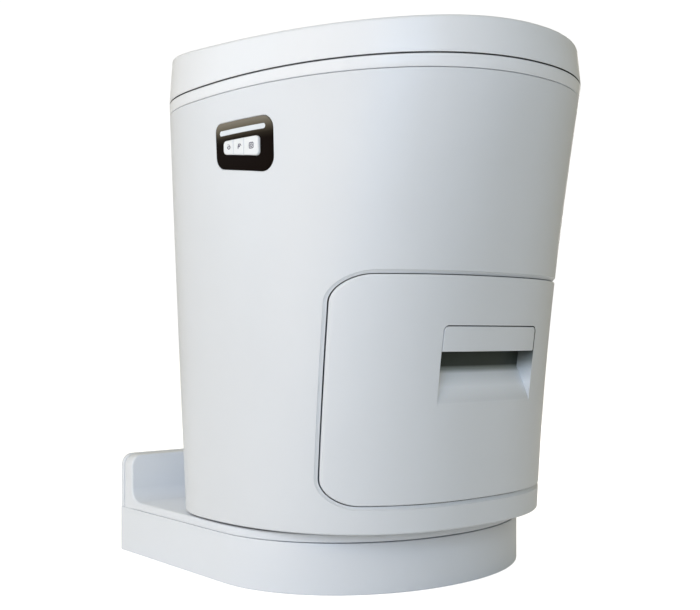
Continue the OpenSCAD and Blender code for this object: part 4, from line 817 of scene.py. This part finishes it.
def lid_shell():
    """The lid's shell; the underside of its rim is dark with painted shade for the gap over the seat.
    """
    edge = LID_DRAFT + LID_EDGE_R
    outer = [lid_scaled(share, edge, 0)
             for share in (0.02, 0.1, 0.25, 0.4, 0.55, 0.7, 0.82, 0.92, 0.98)]
    outer += [lid_ring(LID_DRAFT + LID_EDGE_R * (1 - math.sin(a)), LID_EDGE_R * (1 - math.cos(a)))
              for a in quarter_turn(11)]
    rim = [rim_ring(inset, up) for inset, up in ((0.0, 0.75), (0.12, 0.3), (0.7, 0.0))]
    half_way = outer[-1] * 0.5 + rim[0] * 0.5
    inner = [rim_ring(LID_T, 0.0), lid_ring(LID_DRAFT + LID_T, LID_EDGE_R),
             lid_ring(LID_DRAFT + LID_T + 2, LID_T + 2), lid_ring(edge + LID_T, LID_T)]
    inner += [lid_scaled(share, edge + LID_T, LID_T) for share in (0.92, 0.7, 0.4, 0.1, 0.02)]
    verts, faces = skin(outer + [half_way] + rim + inner, "flat")
    # Faces of the rim's underside take the dark rubber colour as painted shade in the gap.
    first = (len(outer) + len(rim)) * len(ANGLES)
    dark = [int(first <= k < first + 2 * len(ANGLES)) for k in range(len(faces))]
    obj = make("lid_top", (verts, faces), "lid", [MATS["gloss"], MATS["rubber"]],
               ("lid_shell",), mat_index=dark)
    c = HINGE_CUT
    for x0, x1 in ((-c["x1"], -c["x0"]), (c["x0"], c["x1"])):
        pts = round_rect(x0, x1, LID_Z0 - 2, c["z1"], 2.0, 4)
        boolean(obj, mesh_object("hinge_cut", skin([at_y(pts, c["y0"]), at_y(pts, c["y1"])], "flat")))
    shade(obj)


# Base: plinth, deck with its upstand, and rear cover
BASE_W = 182.0
BASE_SIDE_Y = 24.0
BASE_FRONT = 156.0
BASE_POWER = 2.07
BASE_EDGE_R = 2.0
PLINTH_REAR = 233.5
JOINT_DROP = 0.6
DECK_Z1 = 58.5
DECK_REAR = 223.0
UPSTAND_Y = 205.0
UPSTAND_Z0 = 50.0
UPSTAND_Z1 = 110.0
UPSTAND_R = 12.5
COVE_R = 15.0


def base_outline(inset, rear_y, corner, count=120):
    """Outline in plan: half an oval in front, straight sides and a straight rear."""
    x, y = oval(BASE_W, BASE_FRONT, BASE_POWER, np.linspace(math.pi, 2 * math.pi, count), inset)
    w = BASE_W - inset
    rear = rear_y - inset
    r = max(corner - inset, 0.05)
    turn = quarter_turn(7)
    right = [(w - r + r * math.cos(t), rear - r + r * math.sin(t)) for t in turn]
    left = [(-w + r - r * math.sin(t), rear - r + r * math.cos(t)) for t in turn]
    ys = np.linspace(BASE_SIDE_Y, rear - r, 14)[1:-1]
    return np.array(list(zip(x, y + BASE_SIDE_Y)) + [(w, q) for q in ys] + right
                    + [(q, rear) for q in np.linspace(w - r, -w + r, 14)[1:-1]] + left
                    + [(-w, q) for q in ys[::-1]])


def base_loft(name, levels, rear_y, corner, replaces, front_drop=0.0):
    """Stacked base outlines; front_drop lowers the levels over z 48 towards the front."""
    rings = []
    for z, inset in levels:
        p = base_outline(inset, rear_y, corner)
        drop = front_drop * np.clip(-p[:, 1] / 110, 0, 1) if z > 48 else 0.0
        rings.append(np.column_stack([p, np.full(len(p), z) - drop]))
    return make(name, skin(rings, "flat"), "base", [MATS["base"]], replaces)


def upstand_ring(y, inset):
    r = UPSTAND_R - inset
    w = BASE_W - inset
    z1 = UPSTAND_Z1 - inset
    return at_y(round_poly([(-w, UPSTAND_Z0), (w, UPSTAND_Z0), (w, z1), (-w, z1)],
                           [0.01, 0.01, r, r], 12), y)


def cove_ring(x, k):
    """Section of the round fillet between deck and upstand at x, k larger than its radius."""
    y0 = UPSTAND_Y - COVE_R
    z1 = DECK_Z1 + COVE_R
    arc = [(y0 + (COVE_R + k) * math.sin(t), z1 - (COVE_R + k) * math.cos(t))
           for t in quarter_turn(16)]
    pts = np.array([(y0 - 3, DECK_Z1 - k)] + arc
                   + [(UPSTAND_Y + k, z1 + 3), (212.0, z1 + 3), (212.0, 54.0), (y0 - 3, 54.0)])
    return np.column_stack([np.full(len(pts), x), pts])


def base_plinth():
    levels = [(0.3, 1.4), (0.5, 0.7), (1.0, 0.2), (1.8, 0.0), (30.0, 0.0), (48.8, 0.0),
              (49.4, 0.2), (49.7, 0.6), (49.75, 4.5)]
    base_loft("plinth_shell", levels, PLINTH_REAR, 3.0, ("base_plinth",), front_drop=JOINT_DROP)


def base_deck():
    r = BASE_EDGE_R
    turn = quarter_turn(6)
    levels = [(50.15, 4.5), (50.2, 0.5), (50.4, 0.2), (50.9, 0.0)]
    levels += [(DECK_Z1 - r * (1 - math.sin(t)), r * (1 - math.cos(t))) for t in turn]
    deck = base_loft("deck_plate", levels, DECK_REAR, 0.1, ("base_deck",))
    profile = [(DECK_REAR, 0.9), (DECK_REAR - 0.4, 0.3), (DECK_REAR - 1.2, 0.0)]
    profile += [(UPSTAND_Y + r * (1 - math.sin(t)), r * (1 - math.cos(t))) for t in turn]
    rings = [upstand_ring(y, inset) for y, inset in profile]
    boolean(deck, mesh_object("upstand", skin(rings, "flat"), [MATS["base"]]), "UNION")
    ends = [(-BASE_W + r * (1 - math.cos(t)), r * (1 - math.sin(t))) for t in turn]
    places = ends + [(-60.0, 0.0), (60.0, 0.0)] + [(-x, k) for x, k in ends[::-1]]
    rings = [cove_ring(x, k) for x, k in places]
    boolean(deck, mesh_object("cove", skin(rings, "flat"), [MATS["base"]]), "UNION")
    shade(deck, 30)


def rear_cover():
    profile = ((224.2, 0.8), (224.5, 0.25), (225.1, 0.0), (230.2, 0.0), (230.9, 0.25),
               (231.2, 0.9))
    rings = [upstand_ring(y, inset) for y, inset in profile]
    make("cover_shell", skin(rings, "flat"), "base", [MATS["base"]],
         ("rear_cover",))


# Stage
def floor():
    """Pale floor that the camera sees as white, with the object's shadow on it."""
    bpy.ops.mesh.primitive_plane_add(size=30)
    obj = bpy.context.object
    obj.name = "floor"
    m, nt, bs = new_mat("floor_pale")
    bs.inputs["Base Color"].default_value = (0.9, 0.9, 0.9, 1)
    bs.inputs["Roughness"].default_value = 0.9
    bs.inputs["Emission Color"].default_value = (1, 1, 1, 1)
    path = nt.nodes.new("ShaderNodeLightPath")
    strength = map_to(nt, path.outputs["Is Camera Ray"], 0.0, 0.8)
    nt.links.new(strength.outputs[0], bs.inputs["Emission Strength"])
    obj.data.materials.append(m)


def surroundings():
    """World that is white to the camera and a weak warm light to the object."""
    world = bpy.data.worlds.new("world")
    bpy.context.scene.world = world
    world.use_nodes = True
    nt = world.node_tree
    nt.nodes.clear()
    out = nt.nodes.new("ShaderNodeOutputWorld")
    path = nt.nodes.new("ShaderNodeLightPath")
    white = nt.nodes.new("ShaderNodeBackground")
    white.inputs[0].default_value = (1, 1, 1, 1)
    white.inputs[1].default_value = 1.05
    soft = nt.nodes.new("ShaderNodeBackground")
    soft.inputs[0].default_value = (1.0, 0.96, 0.78, 1)
    soft.inputs[1].default_value = 0.36
    pick = nt.nodes.new("ShaderNodeMixShader")
    nt.links.new(path.outputs["Is Camera Ray"], pick.inputs[0])
    nt.links.new(soft.outputs[0], pick.inputs[1])
    nt.links.new(white.outputs[0], pick.inputs[2])
    nt.links.new(pick.outputs[0], out.inputs[0])


def area(name, place, target, size, power, color):
    """Rectangular lamp at a place, turned towards the target."""
    data = bpy.data.lights.new(name, "AREA")
    data.shape = "RECTANGLE"
    data.size, data.size_y = size
    data.energy = power
    data.color = color
    obj = bpy.data.objects.new(name, data)
    obj.location = place
    obj.rotation_euler = (Vector(target) - Vector(place)).to_track_quat("-Z", "Y").to_euler()
    bpy.context.scene.collection.objects.link(obj)


def lamps():
    middle = (0, 0, 0.28)
    area("key_left", (-2.4, -0.1, 1.1), middle, (2.2, 2.0), 23.4, (1.0, 0.86, 0.72))
    area("front_left", (-2.2, -1.7, 1.2), middle, (1.6, 1.6), 26.0, (0.52, 0.71, 1.0))
    area("rear_left", (-2.0, 1.6, 1.2), middle, (1.4, 1.6), 10.0, (0.82, 0.9, 1.0))
    area("right_rim", (1.6, 0.9, 0.9), (0, 0, 0.35), (0.5, 1.0), 6.0, (1.0, 0.95, 0.9))


dress_nodes()
casing()
door_front()
paddle()
control_panel()
keys()
seat_ring()
lid_shell()
base_plinth()
base_deck()
rear_cover()
floor()
surroundings()
lamps()
bpy.context.scene.view_settings.view_transform = "Standard"
